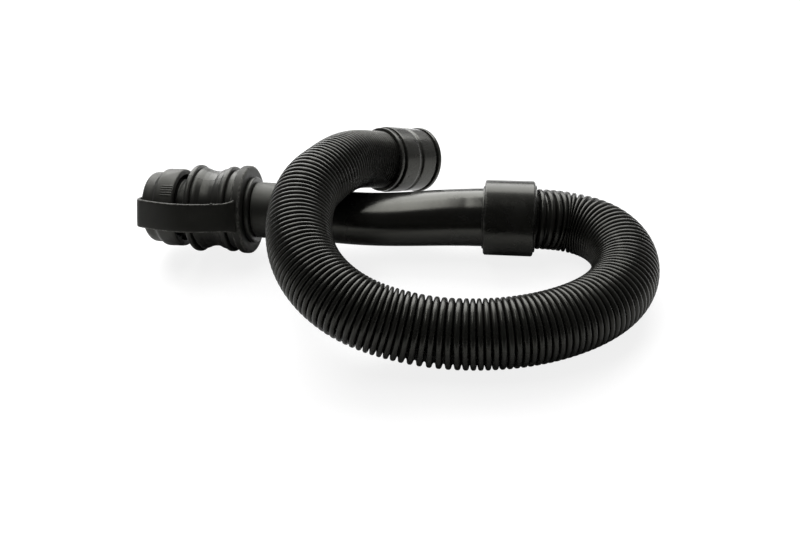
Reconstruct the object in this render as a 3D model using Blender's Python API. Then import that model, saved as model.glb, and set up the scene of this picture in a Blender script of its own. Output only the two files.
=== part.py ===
# Floor scrubber drain hose: a corrugated stretch hose with a machine cuff on one end, and on the
# other a joining cuff, a soft squeeze tube and a capped outlet whose cap hangs on a strap.
# Metres, +Z up. The outlet's axis runs along +X, from the cap to the hose, and the assembly lies
# on z = 0 on the strap's ring, the joining cuff and the hose's own loop. The hose crosses over the
# squeeze tube. The origin is the centre of the bounding box's base.

import math

import bmesh
import bpy
import numpy as np
from mathutils import Matrix, Vector

# Stretch hose
HOSE_OUTER_R = 0.025
RIB_DEPTH = 0.0036
HOSE_BORE_R = 0.019
RIB_SIDES = 16
BORE_SIDES = 10
BORE_STEP = 0.011
HOSE_SAMPLES = 640

# Squeeze tube, of soft rubber
TUBE_OUTER_R = 0.0244
TUBE_WALL = 0.0029
TUBE_VISIBLE_LENGTH = 0.1968
TUBE_SAG = 0.0055
TUBE_SQUASH = 0.0022
TUBE_SAG_SKEW = 0.85
TUBE_ROWS = 16

# Outlet collar: stations are distances from the tube's end towards the cap
SPIGOT_LENGTH = 0.018
COLLAR_WALL = 0.0032
NECK_RING_R = 0.0286
NECK_RING_WIDTH = 0.0040
RING_SEAT_R = 0.0262
SHOULDER_R = 0.0343
SHOULDER_WIDTH = 0.0058
BEAD_WIDTH = 0.0052
REAR_BEAD_R = 0.0371
FRONT_BEAD_R = 0.0379
WAIST_R = 0.0328
WAIST_SHOULDER_R = 0.0354
WAIST_WIDTH = 0.0250
OUTLET_NECK_R = 0.0250
OUTLET_NECK_LENGTH = 0.0308

# Strap ring and strap
STRAP_RING_R = 0.0382
STRAP_RING_WIDTH = 0.0080
STRAP_RING_ROUND = 0.0026
STRAP_WIDTH = 0.0234
STRAP_THICKNESS = 0.0030
STRAP_BOW = 0.0130
STRAP_LIFT = 0.0023
STRAP_END_DROP = 0.0041
STRAP_TURN_R = 0.0140
STRAP_STAND_OFF = 0.0085
STRAP_ROLL_DEG = 20.7
STRAP_TAB_R = 0.0110
STRAP_TAB_REACH = 0.0140
STRAP_TIP_HALF = 0.0035

# Drain cap
CAP_GAP = 0.0102
CAP_BODY_R = 0.0308
CAP_LENGTH = 0.0293
CAP_END_WALL = 0.0045
CAP_END_ROUND = 0.0095
GRIP_BAND_R = 0.0339
GRIP_BAND_LENGTH = 0.0155
CAP_MOUTH_R = 0.0292
CAP_MOUTH_DEPTH = 0.0085
GRIP_RIDGES = 6
GRIP_RIDGE_PITCH = 0.0024
GRIP_RIDGE_HEIGHT = 0.0005
GRIP_RIDGE_WIDTH = 0.0011
GRIP_RIDGE_LENGTH = 0.0092
GRIP_ROLL_DEG = 58.0
STUD_STEM_R = 0.0040
STUD_HEAD_R = 0.0065
STUD_HEAD_THICKNESS = 0.0020
SEAL_SECTION_R = 0.0017

# Joining cuff
CUFF_OUTER_R = 0.0314
CUFF_LENGTH = 0.0409
CUFF_TUBE_SOCKET = 0.0180
CUFF_WEB = 0.0030
CUFF_CHAMFER = 0.0014

# Machine cuff
MACHINE_BAND_R = 0.0289
MACHINE_FAR_BAND_R = 0.0284
MACHINE_LIP_R = 0.0280
MACHINE_END_LIP_R = 0.0295
MACHINE_LENGTH = 0.0504
MACHINE_LIP_WIDTH = 0.0036
MACHINE_END_LIP_WIDTH = 0.0046
MACHINE_GROOVE_WIDTH = 0.0020
MACHINE_GROOVE_DEPTH = 0.0013
MACHINE_STEP_AT = 0.0244
MACHINE_HOSE_SOCKET = 0.0200
MACHINE_WEB = 0.0030
MACHINE_MOUTH_R = 0.0252

# Fits, edges and fineness
CLEARANCE = 0.0003
EDGE_ROUND = 0.0008
TURN_SIDES = 28
ROUND_STEPS = 2
RUN_STEPS = 10
TURN_STEPS = 7

# Layout: where the tube's visible end lies
TUBE_END_X = -0.1154
OUTLET_Y = 0.0330

# Where the machine cuff's hose side lies, and which way the cuff points
MACHINE_FACE = (-0.0131, 0.0817, 0.0622)
MACHINE_DIRECTION = (0.5900, 0.7195, -0.3660)

# The hose's route between the two cuffs, as points chosen by hand
HOSE_ROUTE = (
    (0.1480, 0.0368, 0.0268),
    (0.1688, 0.0293, 0.0252),
    (0.1840, 0.0105, 0.0251),
    (0.1904, -0.0128, 0.0251),
    (0.1891, -0.0370, 0.0251),
    (0.1807, -0.0597, 0.0251),
    (0.1657, -0.0788, 0.0251),
    (0.1463, -0.0934, 0.0251),
    (0.1244, -0.1039, 0.0251),
    (0.1010, -0.1103, 0.0251),
    (0.0768, -0.1128, 0.0251),
    (0.0525, -0.1130, 0.0263),
    (0.0287, -0.1131, 0.0313),
    (0.0057, -0.1116, 0.0387),
    (-0.0157, -0.1041, 0.0468),
    (-0.0337, -0.0900, 0.0547),
    (-0.0465, -0.0711, 0.0622),
    (-0.0537, -0.0491, 0.0692),
    (-0.0561, -0.0257, 0.0756),
    (-0.0534, -0.0020, 0.0800),
    (-0.0458, 0.0210, 0.0802),
    (-0.0369, 0.0433, 0.0784),
    (-0.0265, 0.0640, 0.0716),
)

# How far the hose is stretched along its length: the ribs' pitch at shares of the whole length
PITCH_SHARES = (0.0, 0.18, 0.21, 0.24, 0.38, 0.46, 0.48, 0.52, 0.55, 0.66, 0.70, 0.85, 0.89, 1.0)
PITCHES_MM = (5.2, 5.2, 4.7, 4.1, 4.2, 4.7, 6.0, 6.1, 4.3, 3.6, 3.9, 4.3, 2.8, 2.7)

# Colours as (red, green, blue), and roughness
HOSE_BLACK = ((0.016, 0.016, 0.017), 0.38)
GLOSS_BLACK = ((0.010, 0.010, 0.011), 0.12)
SATIN_BLACK = ((0.014, 0.014, 0.015), 0.30)
MATTE_BLACK = ((0.022, 0.022, 0.023), 0.60)
SEAL_BLACK = ((0.025, 0.025, 0.026), 0.70)


def clear_scene():
    for old in list(bpy.data.objects):
        bpy.data.objects.remove(old, do_unlink=True)


def plastic(name, look):
    """A Principled material of one colour and roughness."""
    colour, roughness = look
    material = bpy.data.materials.new(name)
    material.use_nodes = True
    shader = material.node_tree.nodes["Principled BSDF"]
    shader.inputs["Base Color"].default_value = (*colour, 1.0)
    shader.inputs["Roughness"].default_value = roughness
    shader.inputs["Metallic"].default_value = 0.0
    return material


def finish(name, bm, material, parent=None, smooth_below=35.0):
    """Turn a bmesh into a named object with outward faces and its own material."""
    bmesh.ops.recalc_face_normals(bm, faces=bm.faces[:])
    mesh = bpy.data.meshes.new(name)
    bm.to_mesh(mesh)
    bm.free()
    mesh.shade_smooth()
    mesh.set_sharp_from_angle(angle=math.radians(smooth_below))
    mesh.materials.append(material)
    piece = bpy.data.objects.new(name, mesh)
    bpy.context.scene.collection.objects.link(piece)
    piece.parent = parent
    return piece


def frame_at(name, origin, direction):
    """An empty whose own +X points along a direction, with its +Z as near to up as it can be."""
    along = Vector(direction).normalized()
    side = Vector((0.0, 0.0, 1.0)).cross(along).normalized()
    turn = Matrix((along, side, along.cross(side))).transposed().to_4x4()
    empty = bpy.data.objects.new(name, None)
    empty.matrix_world = Matrix.Translation(origin) @ turn
    bpy.context.scene.collection.objects.link(empty)
    return empty


def rounded(outline, closed=True):
    """Round the corners of a section whose points are (x, r) or (x, r, corner radius)."""
    points = [tuple(point) + (0.0,) * (3 - len(point)) for point in outline]
    count = len(points)
    result = []
    for index, (x, r, corner) in enumerate(points):
        here = Vector((x, r))
        if corner <= 0.0 or (not closed and index in (0, count - 1)):
            result.append(here)
            continue
        before = Vector(points[index - 1][:2]) - here
        after = Vector(points[(index + 1) % count][:2]) - here
        reach = min(corner, 0.45 * before.length, 0.45 * after.length)
        start = here + before.normalized() * reach
        end = here + after.normalized() * reach
        for step in range(ROUND_STEPS + 1):
            t = step / ROUND_STEPS
            result.append(start * (1 - t) ** 2 + here * (2 * t * (1 - t)) + end * t**2)
    return result


def turned(outline, sides=TURN_SIDES, closed=True):
    """Revolve a section of (x, r) points about the X axis into one closed body.

    A closed section makes a ring; an open one starts and ends on the axis.
    """
    bm = bmesh.new()
    rings = []
    for x, r in (tuple(point) for point in outline):
        if r < 1e-7:
            rings.append([bm.verts.new((x, 0.0, 0.0))])
            continue
        angles = [2 * math.pi * k / sides for k in range(sides)]
        rings.append([bm.verts.new((x, r * math.cos(a), r * math.sin(a))) for a in angles])
    pairs = list(zip(rings, rings[1:]))
    if closed:
        pairs.append((rings[-1], rings[0]))
    for first, second in pairs:
        for k in range(sides):
            j = (k + 1) % sides
            if len(first) == 1:
                bm.faces.new((first[0], second[k], second[j]))
            elif len(second) == 1:
                bm.faces.new((first[k], second[0], first[j]))
            else:
                bm.faces.new((first[k], second[k], second[j], first[j]))
    return bm


def spline(points, leaving, arriving, samples=2400):
    """A cubic spline through the points, with its direction given at each end."""
    knots = np.array(points)
    h = np.linalg.norm(np.diff(knots, axis=0), axis=1)
    t = np.concatenate(([0.0], np.cumsum(h)))
    slope = np.vstack(([leaving], np.diff(knots, axis=0) / h[:, None], [arriving]))
    count = len(knots)
    system = np.zeros((count, count))
    for i in range(count):
        if i > 0:
            system[i, i - 1 : i + 1] += h[i - 1], 2 * h[i - 1]
        if i < count - 1:
            system[i, i : i + 2] += 2 * h[i], h[i]
    bend = np.linalg.solve(system, 6 * np.diff(slope, axis=0))
    u = np.linspace(0.0, t[-1], samples)
    i = np.clip(np.searchsorted(t, u) - 1, 0, count - 2)
    a = ((t[i + 1] - u) / h[i])[:, None]
    b = ((u - t[i]) / h[i])[:, None]
    width = h[i][:, None] ** 2 / 6
    return a * knots[i] + b * knots[i + 1] + ((a**3 - a) * bend[i] + (b**3 - b) * bend[i + 1]) * width


def hose_line(outlet):
    """The hose's middle line as even samples, and its length. It is straight inside both cuffs."""
    web = outlet.matrix_world @ Vector((Stations.cuff_web_end + CLEARANCE, 0.0, 0.0))
    leaves = outlet.matrix_world @ Vector((Stations.cuff_end, 0.0, 0.0))
    arriving = Vector(MACHINE_DIRECTION).normalized()
    stop = Vector(MACHINE_FACE) + arriving * (MACHINE_HOSE_SOCKET - CLEARANCE)
    free = spline([leaves, *HOSE_ROUTE, MACHINE_FACE], (leaves - web).normalized(), arriving)
    line = np.vstack(([web], free, [stop]))
    length = np.concatenate(([0.0], np.cumsum(np.linalg.norm(np.diff(line, axis=0), axis=1))))
    even = np.linspace(0.0, length[-1], HOSE_SAMPLES)
    return np.stack([np.interp(even, length, line[:, k]) for k in range(3)], axis=1), length[-1]


def carried_frames(line):
    """Directions and side vectors along a line, carried from point to point without twist."""
    along = np.gradient(line, axis=0)
    along /= np.linalg.norm(along, axis=1)[:, None]
    side = np.cross(along[0], (0.0, 0.0, 1.0))
    sides = []
    for direction in along:
        side = side - direction * side.dot(direction)
        side = side / np.linalg.norm(side)
        sides.append(side)
    sides = np.array(sides)
    return along, sides, np.cross(along, sides)


def rib_stations(length):
    """Where the crests lie: whole ribs whose pitch follows the stretch along the hose."""
    s = np.linspace(0.0, length, 4000)
    pitch = np.interp(s / length, PITCH_SHARES, PITCHES_MM) / 1000
    count = np.concatenate(([0.0], np.cumsum(np.diff(s) * 2 / (pitch[1:] + pitch[:-1]))))
    ribs = int(round(count[-1]))
    return np.interp(np.arange(2 * ribs + 1) / 2, count * ribs / count[-1], s)


def hose_mesh(line, length):
    """Ribs outside and a smooth bore inside, all along the line."""
    s = np.linspace(0.0, length, len(line))
    _, sides, ups = carried_frames(line)
    bm = bmesh.new()

    def ring(at, radius, count):
        tables = (line, sides, ups)
        middle, side, up = (np.array([np.interp(at, s, table[:, k]) for k in range(3)]) for table in tables)
        angles = [2 * math.pi * k / count for k in range(count)]
        return [bm.verts.new(middle + radius * (math.cos(a) * side + math.sin(a) * up)) for a in angles]

    def skin(rings):
        for first, second in zip(rings, rings[1:]):
            count = len(first)
            for k in range(count):
                j = (k + 1) % count
                bm.faces.new((first[k], second[k], second[j], first[j]))

    root_r = HOSE_OUTER_R - RIB_DEPTH
    radii = (root_r, HOSE_OUTER_R)
    outer = [ring(at, radii[index % 2], RIB_SIDES) for index, at in enumerate(rib_stations(length))]
    steps = int(round(length / BORE_STEP))
    bore = [ring(length * k / steps, HOSE_BORE_R, BORE_SIDES) for k in range(steps + 1)]
    skin(outer)
    skin(bore)
    for rim, hole in ((outer[0], bore[0]), (outer[-1], bore[-1])):
        edges = [bm.edges.get(pair) for loop in (rim, hole) for pair in zip(loop, loop[1:] + loop[:1])]
        bmesh.ops.bridge_loops(bm, edges=edges)
    return bm


class Stations:
    """Places along the outlet's axis, in the outlet's own frame: x = 0 at the tube's end."""

    neck_ring = -CLEARANCE
    seat_end = neck_ring - NECK_RING_WIDTH
    seat_start = seat_end - STRAP_RING_WIDTH - 2 * CLEARANCE
    rear_bead_end = seat_start - SHOULDER_WIDTH
    rear_bead = rear_bead_end - BEAD_WIDTH
    waist_start = rear_bead - WAIST_WIDTH
    front_bead = waist_start - BEAD_WIDTH - 0.0010
    mouth = front_bead - OUTLET_NECK_LENGTH
    cap_rim = front_bead - CAP_GAP
    cap_end = cap_rim - CAP_LENGTH
    cap_inside = cap_end + CAP_END_WALL
    strap_tab = cap_end - CLEARANCE - STRAP_THICKNESS / 2
    cuff_start = TUBE_VISIBLE_LENGTH
    tube_inside_end = cuff_start + CUFF_TUBE_SOCKET - CLEARANCE
    cuff_web_end = cuff_start + CUFF_TUBE_SOCKET + CUFF_WEB
    cuff_end = cuff_start + CUFF_LENGTH


def outlet_place():
    """Origin and direction of the outlet's axis, resting on the strap's ring and the joining cuff."""
    ring_at = Stations.seat_end - STRAP_RING_ROUND
    span = Stations.cuff_end - CUFF_CHAMFER - ring_at
    tilt = math.asin((STRAP_RING_R - CUFF_OUTER_R) / span)
    height = STRAP_RING_R / math.cos(tilt) + math.tan(tilt) * ring_at
    return (TUBE_END_X, OUTLET_Y, height), (math.cos(tilt), 0.0, -math.sin(tilt))


def outlet_collar(parent, material):
    at = Stations
    wall = COLLAR_WALL
    spigot_r = TUBE_OUTER_R - TUBE_WALL - CLEARANCE
    bore_r = spigot_r - wall
    chamber_r = WAIST_R - wall
    waist_mid = at.waist_start + WAIST_WIDTH / 2
    outline = [
        (SPIGOT_LENGTH, bore_r),
        (SPIGOT_LENGTH, spigot_r, EDGE_ROUND),
        (at.neck_ring, spigot_r),
        (at.neck_ring, NECK_RING_R, 0.0018),
        (at.seat_end, NECK_RING_R, 0.0018),
        (at.seat_end, RING_SEAT_R),
        (at.seat_start, RING_SEAT_R),
        (at.seat_start, SHOULDER_R, EDGE_ROUND),
        (at.rear_bead_end, SHOULDER_R),
        (at.rear_bead_end - 0.0004, REAR_BEAD_R, 0.0022),
        (at.rear_bead + 0.0004, REAR_BEAD_R, 0.0022),
        (at.rear_bead, WAIST_SHOULDER_R),
        (waist_mid + 0.0075, WAIST_R + 0.0007, 0.004),
        (waist_mid, WAIST_R, 0.003),
        (waist_mid - 0.0060, WAIST_R + 0.0008, 0.003),
        (at.waist_start + 0.0030, WAIST_SHOULDER_R, 0.002),
        (at.waist_start, WAIST_SHOULDER_R),
        (at.waist_start - 0.0005, FRONT_BEAD_R, 0.0024),
        (at.front_bead + 0.0012, FRONT_BEAD_R, 0.0026),
        (at.front_bead, OUTLET_NECK_R + 0.0045, 0.002),
        (at.front_bead - 0.0015, OUTLET_NECK_R, 0.001),
        (at.mouth, OUTLET_NECK_R, 0.0012),
        (at.mouth, OUTLET_NECK_R - wall),
        (at.front_bead + 0.004, OUTLET_NECK_R - wall),
        (at.waist_start + 0.003, chamber_r),
        (at.rear_bead, chamber_r),
        (at.seat_start, bore_r),
    ]
    return finish("outlet_collar", turned(rounded(outline)), material, parent)


def sag_share(x):
    """How far the tube gives way at a place along it: 0 on the spigot and in the cuff, 1 at most."""
    start = SPIGOT_LENGTH + 0.0020
    share = min(max((x - start) / (TUBE_VISIBLE_LENGTH - start), 0.0), 1.0)
    return math.sin(math.pi * share**TUBE_SAG_SKEW) ** 2


def squeeze_tube(parent, material):
    """The soft tube, which sags and flattens a little under the hose that lies across it."""
    inner_r = TUBE_OUTER_R - TUBE_WALL
    end = Stations.tube_inside_end
    rows = [TUBE_VISIBLE_LENGTH * k / TUBE_ROWS for k in range(1, TUBE_ROWS + 1)]
    outline = [(0.0, inner_r), (0.0, TUBE_OUTER_R, 0.0016)]
    outline += [(x, TUBE_OUTER_R) for x in rows] + [(end, TUBE_OUTER_R), (end, inner_r)]
    outline += [(x, inner_r) for x in reversed(rows)]
    bm = turned(rounded(outline))
    for vert in bm.verts:
        share = sag_share(vert.co.x)
        vert.co.y *= 1 + 0.5 * TUBE_SQUASH * share / TUBE_OUTER_R
        vert.co.z = vert.co.z * (1 - TUBE_SQUASH * share / TUBE_OUTER_R) - TUBE_SAG * share
    return finish("squeeze_tube", bm, material, parent)


def joining_cuff(parent, material):
    at = Stations
    tube_socket_r = TUBE_OUTER_R + CLEARANCE
    hose_socket_r = HOSE_OUTER_R + CLEARANCE
    web_start = at.cuff_start + CUFF_TUBE_SOCKET
    outline = [
        (at.cuff_start, tube_socket_r),
        (at.cuff_start, CUFF_OUTER_R, CUFF_CHAMFER),
        (at.cuff_end, CUFF_OUTER_R, CUFF_CHAMFER),
        (at.cuff_end, hose_socket_r),
        (at.cuff_web_end, hose_socket_r),
        (at.cuff_web_end, HOSE_BORE_R),
        (web_start, HOSE_BORE_R),
        (web_start, tube_socket_r),
    ]
    return finish("joining_cuff", turned(rounded(outline)), material, parent)


def drain_cap(parent, material):
    at = Stations
    bore_r = OUTLET_NECK_R + CLEARANCE
    band_end = at.cap_rim - GRIP_BAND_LENGTH
    stud_neck = at.cap_end - 2 * CLEARANCE - STRAP_THICKNESS
    stud_end = stud_neck - STUD_HEAD_THICKNESS
    outline = [
        (at.cap_inside, 0.0),
        (at.cap_inside, bore_r),
        (at.cap_rim - CAP_MOUTH_DEPTH, bore_r),
        (at.cap_rim - CAP_MOUTH_DEPTH, CAP_MOUTH_R - 0.0006),
        (at.cap_rim, CAP_MOUTH_R, EDGE_ROUND),
        (at.cap_rim, GRIP_BAND_R, 0.0026),
        (band_end, GRIP_BAND_R, 0.0030),
        (band_end - 0.0030, CAP_BODY_R, 0.0015),
        (at.cap_end, CAP_BODY_R, CAP_END_ROUND),
        (at.cap_end, STUD_STEM_R),
        (stud_neck, STUD_STEM_R),
        (stud_neck, STUD_HEAD_R, 0.0005),
        (stud_end, STUD_HEAD_R, 0.0010),
        (stud_end, 0.0),
    ]
    bm = turned(rounded(outline, closed=False), closed=False)
    cap = finish("drain_cap", bm, material, parent)
    ridges = grip_ridges(parent, material)
    combine(cap, ridges, "UNION")
    return cap


def grip_ridges(parent, material):
    """A patch of fine ridges along the axis, on the side of the grip band that faces forward."""
    bm = bmesh.new()
    middle = Stations.cap_rim - 0.0025 - GRIP_RIDGE_LENGTH / 2
    for index in range(GRIP_RIDGES):
        offset = (index - (GRIP_RIDGES - 1) / 2) * GRIP_RIDGE_PITCH
        angle = math.radians(180.0 - GRIP_ROLL_DEG) + offset / GRIP_BAND_R
        size = (GRIP_RIDGE_LENGTH, 2 * GRIP_RIDGE_HEIGHT, GRIP_RIDGE_WIDTH)
        place = Matrix.Rotation(angle, 4, "X") @ Matrix.Translation((middle, GRIP_BAND_R, 0.0))
        bmesh.ops.create_cube(bm, size=1.0, matrix=place @ Matrix.Diagonal((*size, 1.0)))
    return guide(finish("grip_ridge_shapes", bm, material, parent))


def guide(piece):
    """A shape that only cuts or adds to another one."""
    piece.hide_render = True
    piece.display_type = "WIRE"
    return piece


def combine(piece, other, operation):
    """Add or cut with another shape, by an exact boolean."""
    step = piece.modifiers.new(other.name, "BOOLEAN")
    step.object = other
    step.operation = operation
    step.solver = "EXACT"


def cap_seal(parent, material):
    """A ring of round section between the neck's mouth and the cap's end wall."""
    middle_r = OUTLET_NECK_R - COLLAR_WALL / 2
    gap = Stations.mouth - Stations.cap_inside
    middle = Stations.cap_inside + gap / 2
    half = gap / 2 - CLEARANCE
    angles = [2 * math.pi * k / 8 + math.pi / 8 for k in range(8)]
    section_r = min(SEAL_SECTION_R, half)
    outline = [(middle + half * math.cos(a), middle_r + section_r * math.sin(a)) for a in angles]
    return finish("cap_seal", turned(outline), material, parent)


def strap_path():
    """The strap's middle line as (x, distance from the axis), from its ring round the cap's end."""
    at = Stations
    start = Vector(((at.seat_start + at.seat_end) / 2, STRAP_RING_R - STRAP_THICKNESS / 3))
    far = Vector((at.cap_end + STRAP_TURN_R - STRAP_STAND_OFF, STRAP_RING_R - STRAP_END_DROP))
    run = []
    for step in range(RUN_STEPS + 1):
        t = step / RUN_STEPS
        bow = STRAP_BOW * math.sin(math.pi * t) + STRAP_LIFT * min(1.0, RUN_STEPS * t)
        run.append(start.lerp(far, t) + Vector((0.0, bow)))
    heading = (run[-1] - run[-2]).normalized()
    centre = run[-1] + Vector((-heading.y, heading.x)) * STRAP_TURN_R
    spoke = run[-1] - centre
    to_axis = math.pi / 2 - math.atan2(-heading.y, -heading.x)
    swing = [to_axis * step / TURN_STEPS for step in range(1, TURN_STEPS + 1)]
    turn = [centre + Matrix.Rotation(angle, 2) @ spoke for angle in swing]
    tab = Vector((at.strap_tab, STRAP_TAB_REACH))
    middle = (turn[-1] + tab) / 2 + Vector((-0.0006, 0.0))
    return run + turn + [middle, tab, Vector((at.strap_tab, 0.0)), Vector((at.strap_tab, -STRAP_TAB_R))]


def cap_strap(parent, material):
    """A ring round the collar, and a flat strap from it, round the cap's end, to the cap's stud."""
    at = Stations
    roll = math.radians(STRAP_ROLL_DEG)
    outward = Vector((0.0, -math.cos(roll), math.sin(roll)))
    across = Vector((0.0, math.sin(roll), math.cos(roll)))
    path = strap_path()
    bm = bmesh.new()
    rows = []
    for index, point in enumerate(path):
        ahead = path[min(index + 1, len(path) - 1)]
        behind = path[max(index - 1, 0)]
        heading = (ahead - behind).normalized()
        normal = Vector((-heading.y, heading.x))
        to_tip = (path[-1] - point).length
        half = STRAP_WIDTH / 2
        if to_tip < STRAP_TAB_R and index > 4:
            half = max(STRAP_TIP_HALF, math.sqrt(max(0.0, STRAP_TAB_R**2 - (STRAP_TAB_R - to_tip) ** 2)))
        row = []
        for lift, width in ((-0.5, -1), (-0.5, 1), (0.5, 1), (0.5, -1)):
            flat = point + normal * (lift * STRAP_THICKNESS)
            place = Vector((flat.x, 0.0, 0.0)) + outward * flat.y + across * (half * width)
            row.append(bm.verts.new(place))
        rows.append(row)
    for first, second in zip(rows, rows[1:]):
        for k in range(4):
            j = (k + 1) % 4
            bm.faces.new((first[k], second[k], second[j], first[j]))
    bm.faces.new(rows[0])
    bm.faces.new(rows[-1])
    strap = guide(finish("strap_shape", bm, material, parent))
    inner_r = RING_SEAT_R + CLEARANCE
    start = at.seat_start + CLEARANCE
    end = at.seat_end - CLEARANCE
    outline = [
        (start, inner_r),
        (end, inner_r),
        (end, STRAP_RING_R, STRAP_RING_ROUND),
        (start, STRAP_RING_R, STRAP_RING_ROUND),
    ]
    ring = finish("cap_strap", turned(rounded(outline)), material, parent)
    combine(ring, strap, "UNION")
    hole = [
        (at.strap_tab - 0.004, 0.0),
        (at.strap_tab - 0.004, STUD_STEM_R + CLEARANCE),
        (at.strap_tab + 0.004, STUD_STEM_R + CLEARANCE),
        (at.strap_tab + 0.004, 0.0),
    ]
    hole_shape = turned([Vector(point) for point in hole], sides=16, closed=False)
    combine(ring, guide(finish("stud_hole_shape", hole_shape, material, parent)), "DIFFERENCE")
    return ring


def machine_cuff(parent, material):
    """The cuff that pushes over the machine's drain spigot, in a frame that starts at the hose side."""
    hose_socket_r = HOSE_OUTER_R + CLEARANCE
    lip_end = MACHINE_LIP_WIDTH
    band_start = lip_end + MACHINE_GROOVE_WIDTH
    end_lip = MACHINE_LENGTH - MACHINE_END_LIP_WIDTH
    far_band_end = end_lip - MACHINE_GROOVE_WIDTH
    mouth_start = MACHINE_HOSE_SOCKET + MACHINE_WEB
    outline = [
        (0.0, hose_socket_r),
        (0.0, MACHINE_LIP_R, EDGE_ROUND),
        (lip_end, MACHINE_LIP_R, EDGE_ROUND),
        (lip_end, MACHINE_BAND_R - MACHINE_GROOVE_DEPTH - 0.0004),
        (band_start, MACHINE_BAND_R - MACHINE_GROOVE_DEPTH - 0.0004),
        (band_start, MACHINE_BAND_R, EDGE_ROUND),
        (MACHINE_STEP_AT - 0.0020, MACHINE_BAND_R, EDGE_ROUND),
        (MACHINE_STEP_AT - 0.0004, MACHINE_FAR_BAND_R - 0.0010, EDGE_ROUND),
        (MACHINE_STEP_AT + 0.0016, MACHINE_FAR_BAND_R - 0.0010, EDGE_ROUND),
        (MACHINE_STEP_AT + 0.0032, MACHINE_FAR_BAND_R, EDGE_ROUND),
        (far_band_end, MACHINE_FAR_BAND_R, EDGE_ROUND),
        (far_band_end, MACHINE_FAR_BAND_R - MACHINE_GROOVE_DEPTH),
        (end_lip, MACHINE_FAR_BAND_R - MACHINE_GROOVE_DEPTH),
        (end_lip, MACHINE_END_LIP_R, EDGE_ROUND),
        (MACHINE_LENGTH, MACHINE_END_LIP_R, EDGE_ROUND),
        (MACHINE_LENGTH, MACHINE_MOUTH_R),
        (mouth_start, MACHINE_MOUTH_R),
        (mouth_start, HOSE_BORE_R),
        (MACHINE_HOSE_SOCKET, HOSE_BORE_R),
        (MACHINE_HOSE_SOCKET, hose_socket_r),
    ]
    return finish("machine_cuff", turned(rounded(outline)), material, parent)


def stretch_hose(outlet, material):
    line, length = hose_line(outlet)
    return finish("stretch_hose", hose_mesh(line, length), material, smooth_below=80.0)


def build():
    clear_scene()
    outlet = frame_at("outlet_axis", *outlet_place())
    machine = frame_at("machine_axis", MACHINE_FACE, MACHINE_DIRECTION)
    outlet_collar(outlet, plastic("collar_black", GLOSS_BLACK))
    squeeze_tube(outlet, plastic("tube_black", GLOSS_BLACK))
    joining_cuff(outlet, plastic("cuff_black", SATIN_BLACK))
    drain_cap(outlet, plastic("cap_black", MATTE_BLACK))
    cap_seal(outlet, plastic("seal_black", SEAL_BLACK))
    cap_strap(outlet, plastic("strap_black", MATTE_BLACK))
    stretch_hose(outlet, plastic("hose_black", HOSE_BLACK))
    machine_cuff(machine, plastic("machine_black", SATIN_BLACK))


build()
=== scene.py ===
"""Floor scrubber drain hose: moulded fittings, a soft squeeze tube and a corrugated stretch hose.

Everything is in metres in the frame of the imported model: +X along the outlet's axis from the cap
towards the hose, +Z up, the floor at z = 0. Turned pieces are profiles carried round an axis, and
the hose and the strap are profiles carried along a path.
"""

import logging
import math
from collections.abc import Callable
from dataclasses import dataclass, field
from enum import Enum

import bmesh
import bpy
import numpy as np
from mathutils import Matrix


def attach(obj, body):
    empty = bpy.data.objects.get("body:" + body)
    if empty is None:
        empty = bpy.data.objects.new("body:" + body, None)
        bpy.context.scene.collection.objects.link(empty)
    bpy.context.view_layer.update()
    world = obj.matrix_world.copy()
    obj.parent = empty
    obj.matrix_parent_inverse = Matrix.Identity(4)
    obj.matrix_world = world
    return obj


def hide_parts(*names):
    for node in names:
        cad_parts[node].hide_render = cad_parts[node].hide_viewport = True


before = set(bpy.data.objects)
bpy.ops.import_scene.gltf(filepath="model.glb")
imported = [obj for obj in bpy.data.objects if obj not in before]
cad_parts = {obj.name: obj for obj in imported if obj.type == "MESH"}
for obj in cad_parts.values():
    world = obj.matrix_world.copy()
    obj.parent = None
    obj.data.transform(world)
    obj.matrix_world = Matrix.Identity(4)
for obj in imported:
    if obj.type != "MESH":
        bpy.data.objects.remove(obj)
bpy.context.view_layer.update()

LOG = logging.getLogger("drain_hose")

Array = np.ndarray
Point = tuple[float, float, float]
Colour = tuple[float, float, float]
Piece = bpy.types.Object
Node = bpy.types.Node
Socket = bpy.types.NodeSocket

CLEARANCE = 0.0003
WARM = (1.0, 1.0, 0.90, 1.0)
HOSE_BODY = "hose_assembly"
CAP_BODY = "cap"


# Shapes worked out as arrays


@dataclass(frozen=True)
class Axis:
    """A straight axis that turned pieces stand on.

    Attributes:
        origin: Where x = 0 lies on the axis.
        direction: Which way x grows.
    """

    origin: Point
    direction: Point

    def basis(self) -> Array:
        """Return the unit vectors along the axis, to its side (level) and up, as three rows."""
        along = np.array(self.direction) / np.linalg.norm(self.direction)
        side = np.cross((0.0, 0.0, 1.0), along)
        side /= np.linalg.norm(side)
        return np.stack([along, side, np.cross(along, side)])

    def at(self, x: float) -> Array:
        """Return the point of the axis at distance x."""
        return np.array(self.origin) + x * self.basis()[0]

    def place(self, x: Array, radius: Array, angle: Array) -> Array:
        """Turn cylinder coordinates into points.

        The point is origin + x * along + radius * (cos(angle) * side + sin(angle) * up).

        Args:
            x: Distances along the axis.
            radius: Distances from the axis.
            angle: Angles round it, in radians, where 90 degrees is up and 180 is the front.

        Returns:
            The points, with one more dimension of length 3.
        """
        along, side, up = self.basis()
        ring = np.cos(angle)[..., None] * side + np.sin(angle)[..., None] * up
        return np.array(self.origin) + x[..., None] * along + radius[..., None] * ring


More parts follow.
